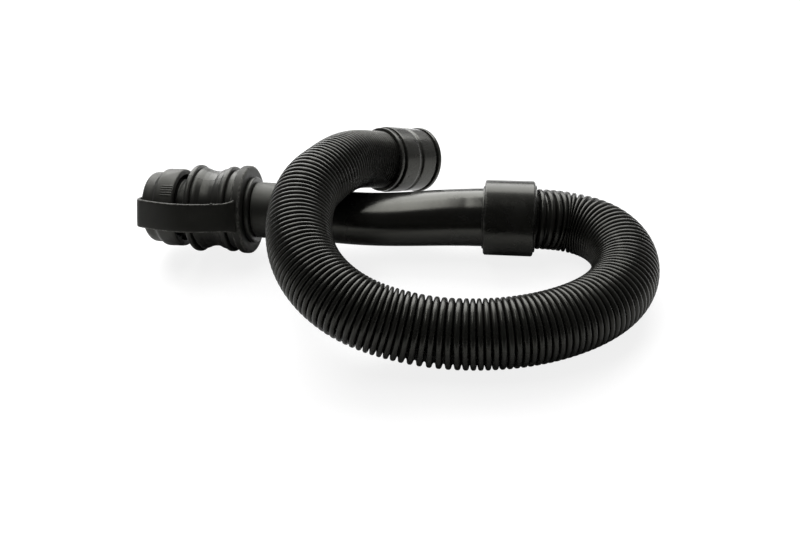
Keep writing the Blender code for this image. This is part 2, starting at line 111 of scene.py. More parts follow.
def rounded(outline: list[tuple[float, ...]], closed: bool = True, steps: int = 5) -> Array:
    """Round the corners of a section.

    A corner is replaced by the parabola that starts and ends one corner radius away from it, or
    45% of a shorter side away.

    Args:
        outline: Points (x, r) or (x, r, corner radius).
        closed: Whether the last point joins the first.
        steps: Pieces per rounded corner.

    Returns:
        The section's points, shape (n, 2).
    """
    points = [tuple(point) + (0.0,) * (3 - len(point)) for point in outline]
    count = len(points)
    result: list[Array] = []
    t = np.linspace(0.0, 1.0, steps + 1)[:, None]
    for index, (x, r, corner) in enumerate(points):
        here = np.array((x, r))
        if corner <= 0.0 or (not closed and index in (0, count - 1)):
            result.append(here[None])
            continue
        before = np.array(points[index - 1][:2]) - here
        after = np.array(points[(index + 1) % count][:2]) - here
        lengths = np.linalg.norm(before), np.linalg.norm(after)
        reach = min(corner, 0.45 * lengths[0], 0.45 * lengths[1])
        start = here + before / lengths[0] * reach
        end = here + after / lengths[1] * reach
        result.append(start * (1 - t) ** 2 + here * (2 * t * (1 - t)) + end * t**2)
    return np.concatenate(result)


def filled(section: Array, spacing: float, closed: bool = True) -> Array:
    """Add points to the long sides of a section, so that no side is longer than the spacing.

    Args:
        section: Points, shape (n, 2).
        spacing: The longest side wanted, in metres.
        closed: Whether the last point joins the first.

    Returns:
        The section with the added points, shape (m, 2).
    """
    ends = np.roll(section, -1, axis=0)
    sides = list(zip(section, ends)) if closed else list(zip(section[:-1], ends[:-1]))
    result: list[Array] = []
    for start, end in sides:
        pieces = max(1, math.ceil(np.linalg.norm(end - start) / spacing))
        t = np.arange(pieces)[:, None] / pieces
        result.append(start + (end - start) * t)
    if not closed:
        result.append(section[-1:])
    return np.concatenate(result)


def convexity(section: Array, closed: bool = True, reach: float = 0.0012) -> Array:
    """Say how far each point of a section lies on an outward edge.

    It is the angle turned between the chords to the points a reach before and after, as a share
    of a right angle, positive on outward edges and zero on flat or hollow places.

    Args:
        section: Points, shape (n, 2).
        closed: Whether the last point joins the first.
        reach: How far away the chords' ends lie, in metres.

    Returns:
        Values from 0 to 1, shape (n,).
    """
    loop = np.vstack([section, section[:1]]) if closed else section
    s = np.concatenate(([0.0], np.cumsum(np.linalg.norm(np.diff(loop, axis=0), axis=1))))
    total = s[-1]
    own = s[: len(section)]

    def at(distance: Array) -> Array:
        """Return the section's points at these distances along it."""
        where = np.mod(distance, total) if closed else np.clip(distance, 0.0, total)
        return np.stack([np.interp(where, s, loop[:, k]) for k in range(2)], axis=1)

    here = at(own)
    before = here - at(own - reach)
    after = at(own + reach) - here
    cross = before[:, 0] * after[:, 1] - before[:, 1] * after[:, 0]
    dot = np.sum(before * after, axis=1)
    area = np.sum(loop[:-1, 0] * loop[1:, 1] - loop[1:, 0] * loop[:-1, 1])
    turn = np.arctan2(cross, dot) * (1.0 if area > 0 else -1.0)
    return np.clip(turn / (math.pi / 2), 0.0, 1.0)


def angles_round(count: int, spots: tuple[tuple[float, float, float], ...] = ()) -> Array:
    """Spread angles evenly round a circle, and closely at a few spots.

    Args:
        count: Even angles round the circle.
        spots: (middle, half width, step) of each close stretch, in radians.

    Returns:
        Sorted angles from 0 up to, but without, a full turn.
    """
    even = np.arange(count) * 2 * np.pi / count
    for middle, half, step in spots:
        off = np.abs((even - middle + np.pi) % (2 * np.pi) - np.pi)
        even = even[off > half + step / 2]
    close = [np.arange(at - half, at + half + step / 2, step) for at, half, step in spots]
    return np.sort(np.mod(np.concatenate([even, *close]), 2 * np.pi))


def ridge(distance: Array, half_width: float) -> Array:
    """Return a smooth bump: the squared cosine of distance over half width, zero outside it."""
    inside = np.clip(np.abs(distance) / half_width, 0.0, 1.0)
    return np.cos(inside * np.pi / 2) ** 2


def window(value: Array, low: float, high: float, soft: float) -> Array:
    """Make a window: 1 between low and high, falling in a line to 0 outside them.

    Args:
        value: Where to work it out.
        low: Where the window starts.
        high: Where it ends.
        soft: How long each fall is.

    Returns:
        The window's height, from 0 to 1.
    """
    rise = np.clip((value - low) / soft + 1.0, 0.0, 1.0)
    fall = np.clip((high - value) / soft + 1.0, 0.0, 1.0)
    return rise * fall


def grid_object(
    name: str,
    points: Array,
    close_rows: bool,
    close_columns: bool = True,
    edge: Array | None = None,
    sharp: float = 40.0,
) -> Piece:
    """Make an object from a grid of points.

    Each cell of the grid is a quad. Rows run along the piece and columns go round it. The UV map
    holds the turn round the piece, from 0 to 1, and the distance along it in metres.

    Args:
        name: The object's name.
        points: Shape (rows, columns, 3).
        close_rows: Whether the last row joins the first.
        close_columns: Whether the last column joins the first.
        edge: How much of an outward edge each point is, shape (rows, columns) or (rows, 1).
        sharp: Edges that turn more than this, in degrees, are shaded sharp.

    Returns:
        The new object, smooth shaded, with faces outwards and coincident points merged.
    """
    rows, columns = points.shape[:2]
    i = np.arange(rows if close_rows else rows - 1)
    j = np.arange(columns if close_columns else columns - 1)
    i, j = np.meshgrid(i, j, indexing="ij")
    i2, j2 = (i + 1) % rows, (j + 1) % columns
    corners = [i * columns + j, i2 * columns + j, i2 * columns + j2, i * columns + j2]
    quads = np.stack(corners, axis=-1).reshape(-1, 4)
    mesh = bpy.data.meshes.new(name)
    mesh.vertices.add(rows * columns)
    mesh.vertices.foreach_set("co", points.astype(np.float32).ravel())
    mesh.loops.add(quads.size)
    mesh.loops.foreach_set("vertex_index", quads.astype(np.int32).ravel())
    mesh.polygons.add(len(quads))
    mesh.polygons.foreach_set("loop_start", np.arange(0, quads.size, 4, dtype=np.int32))
    step = np.linalg.norm(np.diff(points, axis=0, append=points[:1]), axis=2).mean(axis=1)
    along = np.concatenate(([0.0], np.cumsum(step)))
    turn = np.linspace(0.0, 1.0, columns + 1)
    corners = ((i, j), (i + 1, j), (i + 1, j + 1), (i, j + 1))
    uv = np.stack([np.stack([turn[b], along[a]], axis=-1) for a, b in corners], axis=2)
    mesh.uv_layers.new(name="Surface").data.foreach_set("uv", uv.astype(np.float32).ravel())
    worn = np.zeros((rows, columns)) if edge is None else np.broadcast_to(edge, (rows, columns))
    values = worn.astype(np.float32).ravel()
    mesh.attributes.new("edge", "FLOAT", "POINT").data.foreach_set("value", values)
    mesh.update(calc_edges=True)
    solid = bmesh.new()
    solid.from_mesh(mesh)
    bmesh.ops.remove_doubles(solid, verts=solid.verts[:], dist=1e-6)
    bmesh.ops.recalc_face_normals(solid, faces=solid.faces[:])
    solid.to_mesh(mesh)
    solid.free()
    mesh.validate()
    mesh.shade_smooth()
    mesh.set_sharp_from_angle(angle=math.radians(sharp))
    piece = bpy.data.objects.new(name, mesh)
    bpy.context.scene.collection.objects.link(piece)
    return piece


@dataclass
class Turned:
    """A profile carried round an axis.

    Attributes:
        axis: The axis that it is turned on.
        outline: Its section as (x, r) or (x, r, corner radius).
        closed: Whether the section is a loop; an open one starts and ends on the axis.
        sides: Even steps round the axis.
        spacing: The longest step along the section, in metres.
        spots: Stretches of the circle that need closer steps.
        swell: Gives what is added to the radius, from x, radius and angle.
        sag: Gives how far the piece hangs below its axis, from x.
    """

    axis: Axis
    outline: list[tuple[float, ...]]
    closed: bool = True
    sides: int = 112
    spacing: float = 0.0014
    spots: tuple[tuple[float, float, float], ...] = ()
    swell: Callable[[Array, Array, Array], Array] | None = None
    sag: Callable[[Array], Array] | None = None

    def build(self, name: str) -> Piece:
        """Build the object, with its outward edges marked for wear.

        Args:
            name: The object's name.

        Returns:
            The new object.
        """
        section = filled(rounded(self.outline, self.closed), self.spacing, self.closed)
        angle = angles_round(self.sides, self.spots)
        x, angle = np.meshgrid(section[:, 0], angle, indexing="ij")
        radius = np.broadcast_to(section[:, 1:2], x.shape)
        if self.swell is not None:
            radius = radius + self.swell(x, radius, angle)
        edge = convexity(section, self.closed)[:, None]
        points = self.axis.place(x, radius, angle)
        if self.sag is not None:
            points = points - self.sag(x)[..., None] * self.axis.basis()[2]
        return grid_object(name, points, self.closed, edge=edge)


def spline(points: list[Array], leaving: Array, arriving: Array, samples: int = 2400) -> Array:
    """Draw a cubic spline through points, with its direction given at each end.

    The second derivatives solve the usual three-term rows, and each stretch is the cubic that has
    its ends' places and second derivatives.

    Args:
        points: The points to go through.
        leaving: The unit direction at the first point.
        arriving: The unit direction at the last point.
        samples: How many points to return.

    Returns:
        Points on the spline, shape (samples, 3).
    """
    knots = np.array(points)
    h = np.linalg.norm(np.diff(knots, axis=0), axis=1)
    t = np.concatenate(([0.0], np.cumsum(h)))
    slope = np.vstack(([leaving], np.diff(knots, axis=0) / h[:, None], [arriving]))
    count = len(knots)
    wide = np.concatenate(([0.0], h, [0.0]))
    system = np.diag(2 * (wide[:-1] + wide[1:])) + np.diag(h, 1) + np.diag(h, -1)
    bend = np.linalg.solve(system, 6 * np.diff(slope, axis=0))
    u = np.linspace(0.0, t[-1], samples)
    i = np.clip(np.searchsorted(t, u) - 1, 0, count - 2)
    a = ((t[i + 1] - u) / h[i])[:, None]
    b = ((u - t[i]) / h[i])[:, None]
    share = h[i][:, None] ** 2 / 6
    curved = ((a**3 - a) * bend[i] + (b**3 - b) * bend[i + 1]) * share
    return a * knots[i] + b * knots[i + 1] + curved


def evened(line: Array, count: int) -> tuple[Array, float]:
    """Space the points of a line evenly.

    Args:
        line: Points, shape (n, k).
        count: How many points are wanted.

    Returns:
        The evenly spaced points, and the line's length.
    """
    s = np.concatenate(([0.0], np.cumsum(np.linalg.norm(np.diff(line, axis=0), axis=1))))
    even = np.linspace(0.0, s[-1], count)
    spaced = np.stack([np.interp(even, s, line[:, k]) for k in range(line.shape[1])], axis=1)
    return spaced, float(s[-1])


# Shader groups and finishes


class Group(Enum):
    """The surface effects that the finishes share."""

    GRAIN = "moulded_grain"
    SMUDGE = "handling_smudges"
    WEAR = "edge_wear"
    SCUFF = "fine_scuffs"


class Sheet:
    """A short way to write a node tree.

    Args:
        tree: The node tree to write in.
    """

    def __init__(self, tree: bpy.types.NodeTree) -> None:
        """Keep the tree."""
        self.tree = tree

    def node(self, kind: str, **settings: object) -> Node:
        """Add a node and set its settings.

        Args:
            kind: The node's type.
            settings: Each setting's name and value.

        Returns:
            The node.
        """
        node = self.tree.nodes.new(kind)
        for key, value in settings.items():
            setattr(node, key, value)
        return node

    def link(self, source: Socket, target: Socket) -> None:
        """Join two sockets."""
        self.tree.links.new(source, target)

    def math(
        self, operation: str, first: object, second: object = 0.0, clamp: bool = False
    ) -> Socket:
        """Add a Math node.

        Args:
            operation: The node's operation.
            first: A socket or a number.
            second: A socket or a number.
            clamp: Whether to hold the result between 0 and 1.

        Returns:
            The node's output socket.
        """
        node = self.node("ShaderNodeMath", operation=operation, use_clamp=clamp)
        for value, socket in zip((first, second), node.inputs):
            if isinstance(value, Socket):
                self.link(value, socket)
            else:
                socket.default_value = value
        return node.outputs[0]

    def spread(self, value: Socket, low: float, high: float, to: tuple[float, float]) -> Socket:
        """Map a value smoothly from the range low to high onto another range.

        Args:
            value: The socket to map.
            low: Where the result is to[0].
            high: Where the result is to[1].
            to: The result's two ends.

        Returns:
            The mapped value's socket.
        """
        node = self.node("ShaderNodeMapRange", interpolation_type="SMOOTHSTEP")
        self.link(value, node.inputs["Value"])
        node.inputs["From Min"].default_value = low
        node.inputs["From Max"].default_value = high
        node.inputs["To Min"].default_value = to[0]
        node.inputs["To Max"].default_value = to[1]
        return node.outputs["Result"]

    def noise(
        self, vector: Socket, scale: object, detail: float, distortion: float = 0.0
    ) -> Socket:
        """Add a Noise Texture.

        Args:
            vector: The place's socket.
            scale: A socket or a number.
            detail: How many finer layers it has.
            distortion: How much it is warped.

        Returns:
            The node's value socket.
        """
        node = self.node("ShaderNodeTexNoise")
        self.link(vector, node.inputs["Vector"])
        if isinstance(scale, Socket):
            self.link(scale, node.inputs["Scale"])
        else:
            node.inputs["Scale"].default_value = scale
        node.inputs["Detail"].default_value = detail
        node.inputs["Distortion"].default_value = distortion
        return node.outputs["Fac"]


class Effects:
    """The shared shader groups, each built once."""

    def __init__(self) -> None:
        """Build every group."""
        self.groups = {
            Group.GRAIN: self.grain(),
            Group.SMUDGE: self.smudge(),
            Group.WEAR: self.wear(),
            Group.SCUFF: self.scuff(),
        }

    @staticmethod
    def shell(
        kind: Group, inputs: dict[str, float], outputs: tuple[str, ...]
    ) -> tuple[Sheet, Node, Node]:
        """Start a shader group with named inputs and outputs.

        Args:
            kind: Which effect it is.
            inputs: Each input's name and default value.
            outputs: The outputs' names.

        Returns:
            The sheet to write in, the group's input node and its output node.
        """
        tree = bpy.data.node_groups.new(kind.value, "ShaderNodeTree")
        for name, value in inputs.items():
            socket = tree.interface.new_socket(name, in_out="INPUT", socket_type="NodeSocketFloat")
            socket.default_value = value
        for name in outputs:
            tree.interface.new_socket(name, in_out="OUTPUT", socket_type="NodeSocketFloat")
        sheet = Sheet(tree)
        return sheet, sheet.node("NodeGroupInput"), sheet.node("NodeGroupOutput")

    def grain(self) -> bpy.types.NodeTree:
        """Make the fine pebble of a moulded surface, with a slow change of tone.

        Returns:
            A group that puts out the grain's Height and the surface's Tone.
        """
        inputs = {"Scale": 1500.0, "Tone Scale": 60.0}
        sheet, given, result = self.shell(Group.GRAIN, inputs, ("Height", "Tone"))
        place = sheet.node("ShaderNodeTexCoord").outputs["Object"]
        fine = sheet.noise(place, given.outputs["Scale"], 2.0)
        cells = sheet.node("ShaderNodeTexVoronoi", feature="SMOOTH_F1")
        sheet.link(place, cells.inputs["Vector"])
        sheet.link(sheet.math("MULTIPLY", given.outputs["Scale"], 0.7), cells.inputs["Scale"])
        pebbles = sheet.math("MULTIPLY", cells.outputs["Distance"], 0.6)
        height = sheet.math("ADD", sheet.math("MULTIPLY", fine, 0.55), pebbles)
        sheet.link(height, result.inputs["Height"])
        tone = sheet.noise(place, given.outputs["Tone Scale"], 3.0, 0.4)
        sheet.link(sheet.spread(tone, 0.35, 0.68, (0.0, 1.0)), result.inputs["Tone"])
        return sheet.tree

    def smudge(self) -> bpy.types.NodeTree:
        """Make soft patches where the surface has been handled or has dust on it.

        Returns:
            A group that puts out the patches' Mask and the dust's Specks.
        """
        inputs = {"Scale": 45.0, "Speck Scale": 900.0}
        sheet, given, result = self.shell(Group.SMUDGE, inputs, ("Mask", "Specks"))
        place = sheet.node("ShaderNodeTexCoord").outputs["Object"]
        cloud = sheet.noise(place, given.outputs["Scale"], 5.0, 0.9)
        sheet.link(sheet.spread(cloud, 0.47, 0.70, (0.0, 1.0)), result.inputs["Mask"])
        speck = sheet.noise(place, given.outputs["Speck Scale"], 1.0)
        clusters = sheet.spread(cloud, 0.42, 0.6, (0.0, 1.0))
        few = sheet.math("MULTIPLY", sheet.spread(speck, 0.70, 0.78, (0.0, 1.0)), clusters)
        sheet.link(few, result.inputs["Specks"])
        return sheet.tree

    def wear(self) -> bpy.types.NodeTree:
        """Make wear along outward edges, broken up by noise.

        Returns:
            A group that puts out a Mask, from the piece's own edge attribute.
        """
        sheet, given, result = self.shell(Group.WEAR, {"Scale": 420.0, "Amount": 1.0}, ("Mask",))
        place = sheet.node("ShaderNodeTexCoord").outputs["Object"]
        edge = sheet.node("ShaderNodeAttribute", attribute_name="edge").outputs["Fac"]
        patches = sheet.noise(place, given.outputs["Scale"], 4.0)
        broken = sheet.spread(patches, 0.36, 0.66, (0.15, 1.0))
        strong = sheet.math("MULTIPLY", sheet.spread(edge, 0.06, 0.45, (0.0, 1.0)), broken)
        mask = sheet.math("MULTIPLY", strong, given.outputs["Amount"], clamp=True)
        sheet.link(mask, result.inputs["Mask"])
        return sheet.tree

    def scuff(self) -> bpy.types.NodeTree:
        """Make thin scratches round or along a piece, on its own UV map.

        Returns:
            A group that puts out the scratches' Mask and Height.
        """
        inputs = {"Round": 30.0, "Along": 260.0}
        sheet, given, result = self.shell(Group.SCUFF, inputs, ("Mask", "Height"))
        uv = sheet.node("ShaderNodeUVMap", uv_map="Surface").outputs["UV"]
        split = sheet.node("ShaderNodeSeparateXYZ")
        sheet.link(uv, split.inputs[0])
        turn = sheet.math("MULTIPLY", split.outputs["X"], 2 * math.pi)
        joined = sheet.node("ShaderNodeCombineXYZ")
        places = (
            ("X", sheet.math("COSINE", turn), "Round"),
            ("Y", sheet.math("SINE", turn), "Round"),
            ("Z", split.outputs["Y"], "Along"),
        )
        for axis, value, scale in places:
            sheet.link(sheet.math("MULTIPLY", value, given.outputs[scale]), joined.inputs[axis])
        line = sheet.noise(joined.outputs[0], 1.0, 4.0, 0.25)
        mask = sheet.spread(line, 0.60, 0.74, (0.0, 1.0))
        sheet.link(mask, result.inputs["Mask"])
        height = sheet.math("SUBTRACT", line, sheet.math("MULTIPLY", mask, 0.35))
        sheet.link(height, result.inputs["Height"])
        return sheet.tree

    def use(self, sheet: Sheet, kind: Group, **values: float) -> Node:
        """Place a shared group in a material.

        Args:
            sheet: The material's sheet.
            kind: Which effect.
            **values: The group's inputs, with underscores for spaces.

        Returns:
            The group node.
        """
        node = sheet.node("ShaderNodeGroup", node_tree=self.groups[kind])
        for name, value in values.items():
            node.inputs[name.replace("_", " ")].default_value = value
        return node


@dataclass(frozen=True)
class Finish:
    """A black moulded or rubber surface.

    Attributes:
        name: The material's name.
        slot: The record's material slot; not used.
        colour: Its colour.
        pale: Its colour where it is dusty or rubbed.
        roughness: Its roughness where it is clean, and where it is smudged.
        grain: The grain's scale, per metre.
        grain_depth: The grain's depth, in metres.
        smudge: The smudges' scale, per metre, and how much they pale the surface.
        wear: How much the edges pale.
        scuff: The scratches' scales round and along the piece.
        scuff_depth: The scratches' depth, in metres.
        gloss: How strongly it reflects, where 0.5 is the usual plastic.
        dull: Up to where along the piece it is fully duller, where that ends, and how much rougher.
        scratched: How much the scratches pale the surface, as a share of the wear.
    """

    name: str
    slot: str
    colour: Colour
    pale: Colour
    roughness: tuple[float, float]
    grain: float = 1500.0
    grain_depth: float = 0.00001
    smudge: tuple[float, float] = (45.0, 0.3)
    wear: float = 0.4
    scuff: tuple[float, float] = (30.0, 260.0)
    scuff_depth: float = 0.00001
    gloss: float = 0.5
    dull: tuple[float, float, float] = (0.0, 1.0, 0.0)
    scratched: float = 0.5

    def material(self, effects: Effects) -> bpy.types.Material:
        """Build the material.

        The colour runs from clean to pale with the largest of the smudges, the wear and the
        scratches. The roughness follows the smudges and the tone, and grows where the piece is
        duller. The bump adds the grain to the scratches.

        Args:
            effects: The shared shader groups.

        Returns:
            The material.
        """
        material = bpy.data.materials.new(self.name)
        material.use_nodes = True
        sheet = Sheet(material.node_tree)
        shader = material.node_tree.nodes["Principled BSDF"]
        grain = effects.use(sheet, Group.GRAIN, Scale=self.grain)
        smudge = effects.use(sheet, Group.SMUDGE, Scale=self.smudge[0])
        wear = effects.use(sheet, Group.WEAR, Amount=self.wear)
        scuff = effects.use(sheet, Group.SCUFF, Round=self.scuff[0], Along=self.scuff[1])
        dusty = sheet.math("MULTIPLY", smudge.outputs["Mask"], self.smudge[1])
        specks = sheet.math("MULTIPLY", smudge.outputs["Specks"], 0.5 * self.smudge[1])
        scratched = sheet.math("MULTIPLY", scuff.outputs["Mask"], self.scratched * self.wear)
        marked = sheet.math("MAXIMUM", wear.outputs["Mask"], scratched)
        pale = sheet.math("ADD", sheet.math("MAXIMUM", dusty, marked), specks, clamp=True)
        tint = sheet.node("ShaderNodeMix", data_type="RGBA")
        tint.inputs["A"].default_value = (*self.colour, 1.0)
        tint.inputs["B"].default_value = (*self.pale, 1.0)
        sheet.link(pale, tint.inputs["Factor"])
        sheet.link(tint.outputs["Result"], shader.inputs["Base Color"])
        from_smudge = sheet.math("MULTIPLY", smudge.outputs["Mask"], 0.4)
        from_tone = sheet.math("MULTIPLY", grain.outputs["Tone"], 0.4)
        uneven = sheet.math("ADD", from_smudge, from_tone)
        rough = sheet.spread(uneven, 0.0, 1.0, self.roughness)
        if self.dull[2]:
            along = sheet.node("ShaderNodeSeparateXYZ")
            sheet.link(sheet.node("ShaderNodeUVMap", uv_map="Surface").outputs["UV"], along.inputs[0])
            start, end, more = self.dull
            extra = sheet.spread(along.outputs["Y"], start, end, (more, 0.0))
            rough = sheet.math("ADD", rough, extra)
        sheet.link(rough, shader.inputs["Roughness"])
        fine = sheet.node("ShaderNodeBump")
        fine.inputs["Distance"].default_value = self.grain_depth
        sheet.link(grain.outputs["Height"], fine.inputs["Height"])
        lines = sheet.node("ShaderNodeBump")
        lines.inputs["Distance"].default_value = self.scuff_depth
        sheet.link(scuff.outputs["Height"], lines.inputs["Height"])
        sheet.link(fine.outputs["Normal"], lines.inputs["Normal"])
        sheet.link(lines.outputs["Normal"], shader.inputs["Normal"])
        shader.inputs["Specular IOR Level"].default_value = self.gloss
        shader.inputs["Specular Tint"].default_value = WARM
        return material


@dataclass(frozen=True)
class Finishes:
    """The finishes of the whole assembly."""

    cap: Finish = Finish(
        "cap_moulding", "cap_black",
        (0.013, 0.013, 0.0115), (0.055, 0.054, 0.052), (0.46, 0.60),
        grain=1300.0, grain_depth=0.00005, smudge=(60.0, 0.16), wear=0.25, gloss=0.42,
    )
    strap: Finish = Finish(
        "strap_rubber", "strap_black",
        (0.008, 0.008, 0.007), (0.110, 0.109, 0.100), (0.50, 0.60),
        grain=1500.0, grain_depth=0.000015, smudge=(40.0, 0.04), wear=0.80, scuff=(8.0, 120.0),
        scuff_depth=0.000003, gloss=0.26, scratched=0.02,
    )
    collar: Finish = Finish(
        "collar_moulding", "collar_black",
        (0.010, 0.010, 0.009), (0.050, 0.049, 0.047), (0.34, 0.46),
        grain=500.0, grain_depth=0.000006, smudge=(40.0, 0.08), wear=0.20, scuff=(4.0, 600.0),
        scuff_depth=0.000004, gloss=0.33,
    )
    tube: Finish = Finish(
        "squeeze_tube_rubber", "tube_black",
        (0.006, 0.006, 0.0055), (0.040, 0.039, 0.038), (0.21, 0.32),
        grain=350.0, grain_depth=0.00003, smudge=(30.0, 0.08), wear=0.20, scuff=(18.0, 40.0),
        scuff_depth=0.00002, dull=(0.020, 0.110, 0.30),
    )
    cuff: Finish = Finish(
        "joining_cuff_moulding", "cuff_black",
        (0.008, 0.008, 0.007), (0.050, 0.049, 0.047), (0.24, 0.36),
        grain=900.0, grain_depth=0.00002, smudge=(45.0, 0.08), wear=0.45, scuff=(14.0, 700.0),
        gloss=0.38,
    )
    hose: Finish = Finish(
        "stretch_hose_plastic", "hose_black",
        (0.008, 0.008, 0.007), (0.050, 0.049, 0.046), (0.26, 0.38),
        grain=800.0, grain_depth=0.00002, smudge=(25.0, 0.10), wear=0.10, scuff=(40.0, 90.0),
        gloss=0.34,
    )
    machine: Finish = Finish(
        "machine_cuff_moulding", "machine_black",
        (0.009, 0.009, 0.008), (0.055, 0.054, 0.052), (0.24, 0.38),
        grain=900.0, grain_depth=0.00003, smudge=(50.0, 0.10), wear=0.40, scuff=(14.0, 700.0),
    )
    seal: Finish = Finish(
        "seal_rubber", "seal_black",
        (0.022, 0.022, 0.023), (0.060, 0.060, 0.058), (0.60, 0.75),
        grain=1200.0, grain_depth=0.00003,
    )


# The sub-assemblies


@dataclass
class SubAssembly:
    """Pieces that are built and dressed together.

    Attributes:
        effects: The shared shader groups.
        finishes: The finishes.
    """

    effects: Effects
    finishes: Finishes

    def dress(self, piece: Piece, finish: Finish, body: str, *nodes: str) -> Piece:
        """Give a piece its material, body and CAD nodes, and report it.

        Args:
            piece: The piece.
            finish: Its finish.
            body: The body that it rides on.
            *nodes: The CAD nodes that it stands for.

        Returns:
            The piece.
        """
        material = bpy.data.materials.get(finish.name) or finish.material(self.effects)
        piece.data.materials.clear()
        piece.data.materials.append(material)
        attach(piece, body)
        if nodes:
            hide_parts(*nodes)
        LOG.info("%s: %d faces on %s", piece.name, len(piece.data.polygons), body)
        return piece


@dataclass
class OutletAxis:
    """Where the outlet's parts lie on its axis: x = 0 at the tube's visible end, in metres."""

    origin: Point = (-0.1154, 0.0330, 0.0380219)
    direction: Point = (0.9996091, 0.0, -0.0279605)
    neck_ring: float = -0.0003
    seat_end: float = -0.0043
    seat_start: float = -0.0129
    rear_bead_end: float = -0.0187
    rear_bead: float = -0.0239
    waist_start: float = -0.0489
    front_bead: float = -0.0551
    cap_rim: float = -0.0653
    mouth: float = -0.0859
    cap_inside: float = -0.0901
    cap_end: float = -0.0946
    strap_tab: float = -0.0964
    cuff_start: float = 0.1968
    cuff_web: float = 0.2148
    cuff_web_end: float = 0.2178
    cuff_end: float = 0.2377

    @property
    def axis(self) -> Axis:
        """The outlet's axis."""
        return Axis(self.origin, self.direction)


@dataclass
class DrainCap(SubAssembly):
    """The cap on the outlet's neck: a cup with a raised grip band, fine ridges and a stud.

    Attributes:
        on: The outlet's stations.
        body_r: Radius of the body.
        band_r: Radius of the grip band.
        band_length: Length of the grip band.
        end_round: Rounding of the closed end.
        neck_bore: Radius of the bore that goes on the neck.
        skirt: Depth of the wider bore at the rim.
        skirt_bore: Radius of the wider bore.
        stud_r: Radius of the stud's neck.
        stud_head_r: Radius of the stud's head.
        stud_length: Length of the stud's neck.
        ridge_count: Ridges in the patch.
        ridge_pitch: Distance between ridges.
        ridge_width: Width of a ridge, as the ridge function takes it.
        ridge_height: How proud a ridge is.
        ridge_length: Length of a ridge along the axis.
        ridge_angle: Where the patch lies round the axis, in degrees.
        ridge_start: How far behind the cap's rim the ridges start.
    """

    on: OutletAxis = field(default_factory=OutletAxis)
    body_r: float = 0.0308
    band_r: float = 0.0339
    band_length: float = 0.0155
    end_round: float = 0.0095
    neck_bore: float = 0.0253
    skirt: float = 0.0085
    skirt_bore: float = 0.0286
    stud_r: float = 0.0040
    stud_head_r: float = 0.0065
    stud_length: float = 0.0036
    ridge_count: int = 5
    ridge_pitch: float = 0.0022
    ridge_width: float = 0.00075
    ridge_height: float = 0.0004
    ridge_length: float = 0.0088
    ridge_angle: float = 125.0
    ridge_start: float = 0.0012

    def grip(self, x: Array, radius: Array, angle: Array) -> Array:
        """Raise the patch of grip ridges.

        Each ridge is a squared cosine across the band, times a window along the axis, and only
        the band's outside is raised.

        Args:
            x: Distances along the axis.
            radius: The plain surface's radius.
            angle: Angles round the axis.

        Returns:
            What is added to the radius.
        """
        middle = self.on.cap_rim - self.ridge_start - self.ridge_length / 2
        along = window(x, middle - self.ridge_length / 2, middle + self.ridge_length / 2, 0.0006)
        arc = (angle - math.radians(self.ridge_angle)) * self.band_r
        index = np.arange(self.ridge_count) - (self.ridge_count - 1) / 2
        across = sum(ridge(arc - k * self.ridge_pitch, self.ridge_width) for k in index)
        outside = radius > self.band_r - 0.0012
        return self.ridge_height * along * across * outside

    def build(self) -> Piece:
        """Build the cap as one closed turned body that starts and ends on the axis."""
        at = self.on
        band_end = at.cap_rim - self.band_length
        stud = at.cap_end - self.stud_length
        outline = [
            (at.cap_inside, 0.0),
            (at.cap_inside, self.neck_bore, 0.0008),
            (at.cap_rim - self.skirt, self.neck_bore),
            (at.cap_rim - self.skirt, self.skirt_bore, 0.0004),
            (at.cap_rim, self.skirt_bore + 0.0006, 0.0006),
            (at.cap_rim, self.band_r - 0.0006, 0.0012),
            (at.cap_rim - 0.0022, self.band_r, 0.0016),
            (band_end, self.band_r, 0.0028),
            (band_end - 0.0030, self.body_r, 0.0022),
            (at.cap_end, self.body_r, self.end_round),
            (at.cap_end, 0.0092, 0.0004),
            (at.cap_end + 0.0003, 0.0086, 0.0003),
            (at.cap_end + 0.0003, 0.0046, 0.0002),
            (at.cap_end, self.stud_r, 0.0003),
            (stud, self.stud_r),
            (stud, self.stud_head_r, 0.0004),
            (stud - 0.0018, self.stud_head_r - 0.0007, 0.0010),
            (stud - 0.0020, 0.0),
        ]
        half = (self.ridge_count / 2 * self.ridge_pitch + 0.001) / self.band_r
        spot = (math.radians(self.ridge_angle), half, 0.00022 / self.band_r)
        shape = Turned(
            at.axis, outline, closed=False, spacing=0.0010, spots=(spot,), swell=self.grip
        )
        return self.dress(shape.build("cap_moulding"), self.finishes.cap, CAP_BODY, "drain_cap")


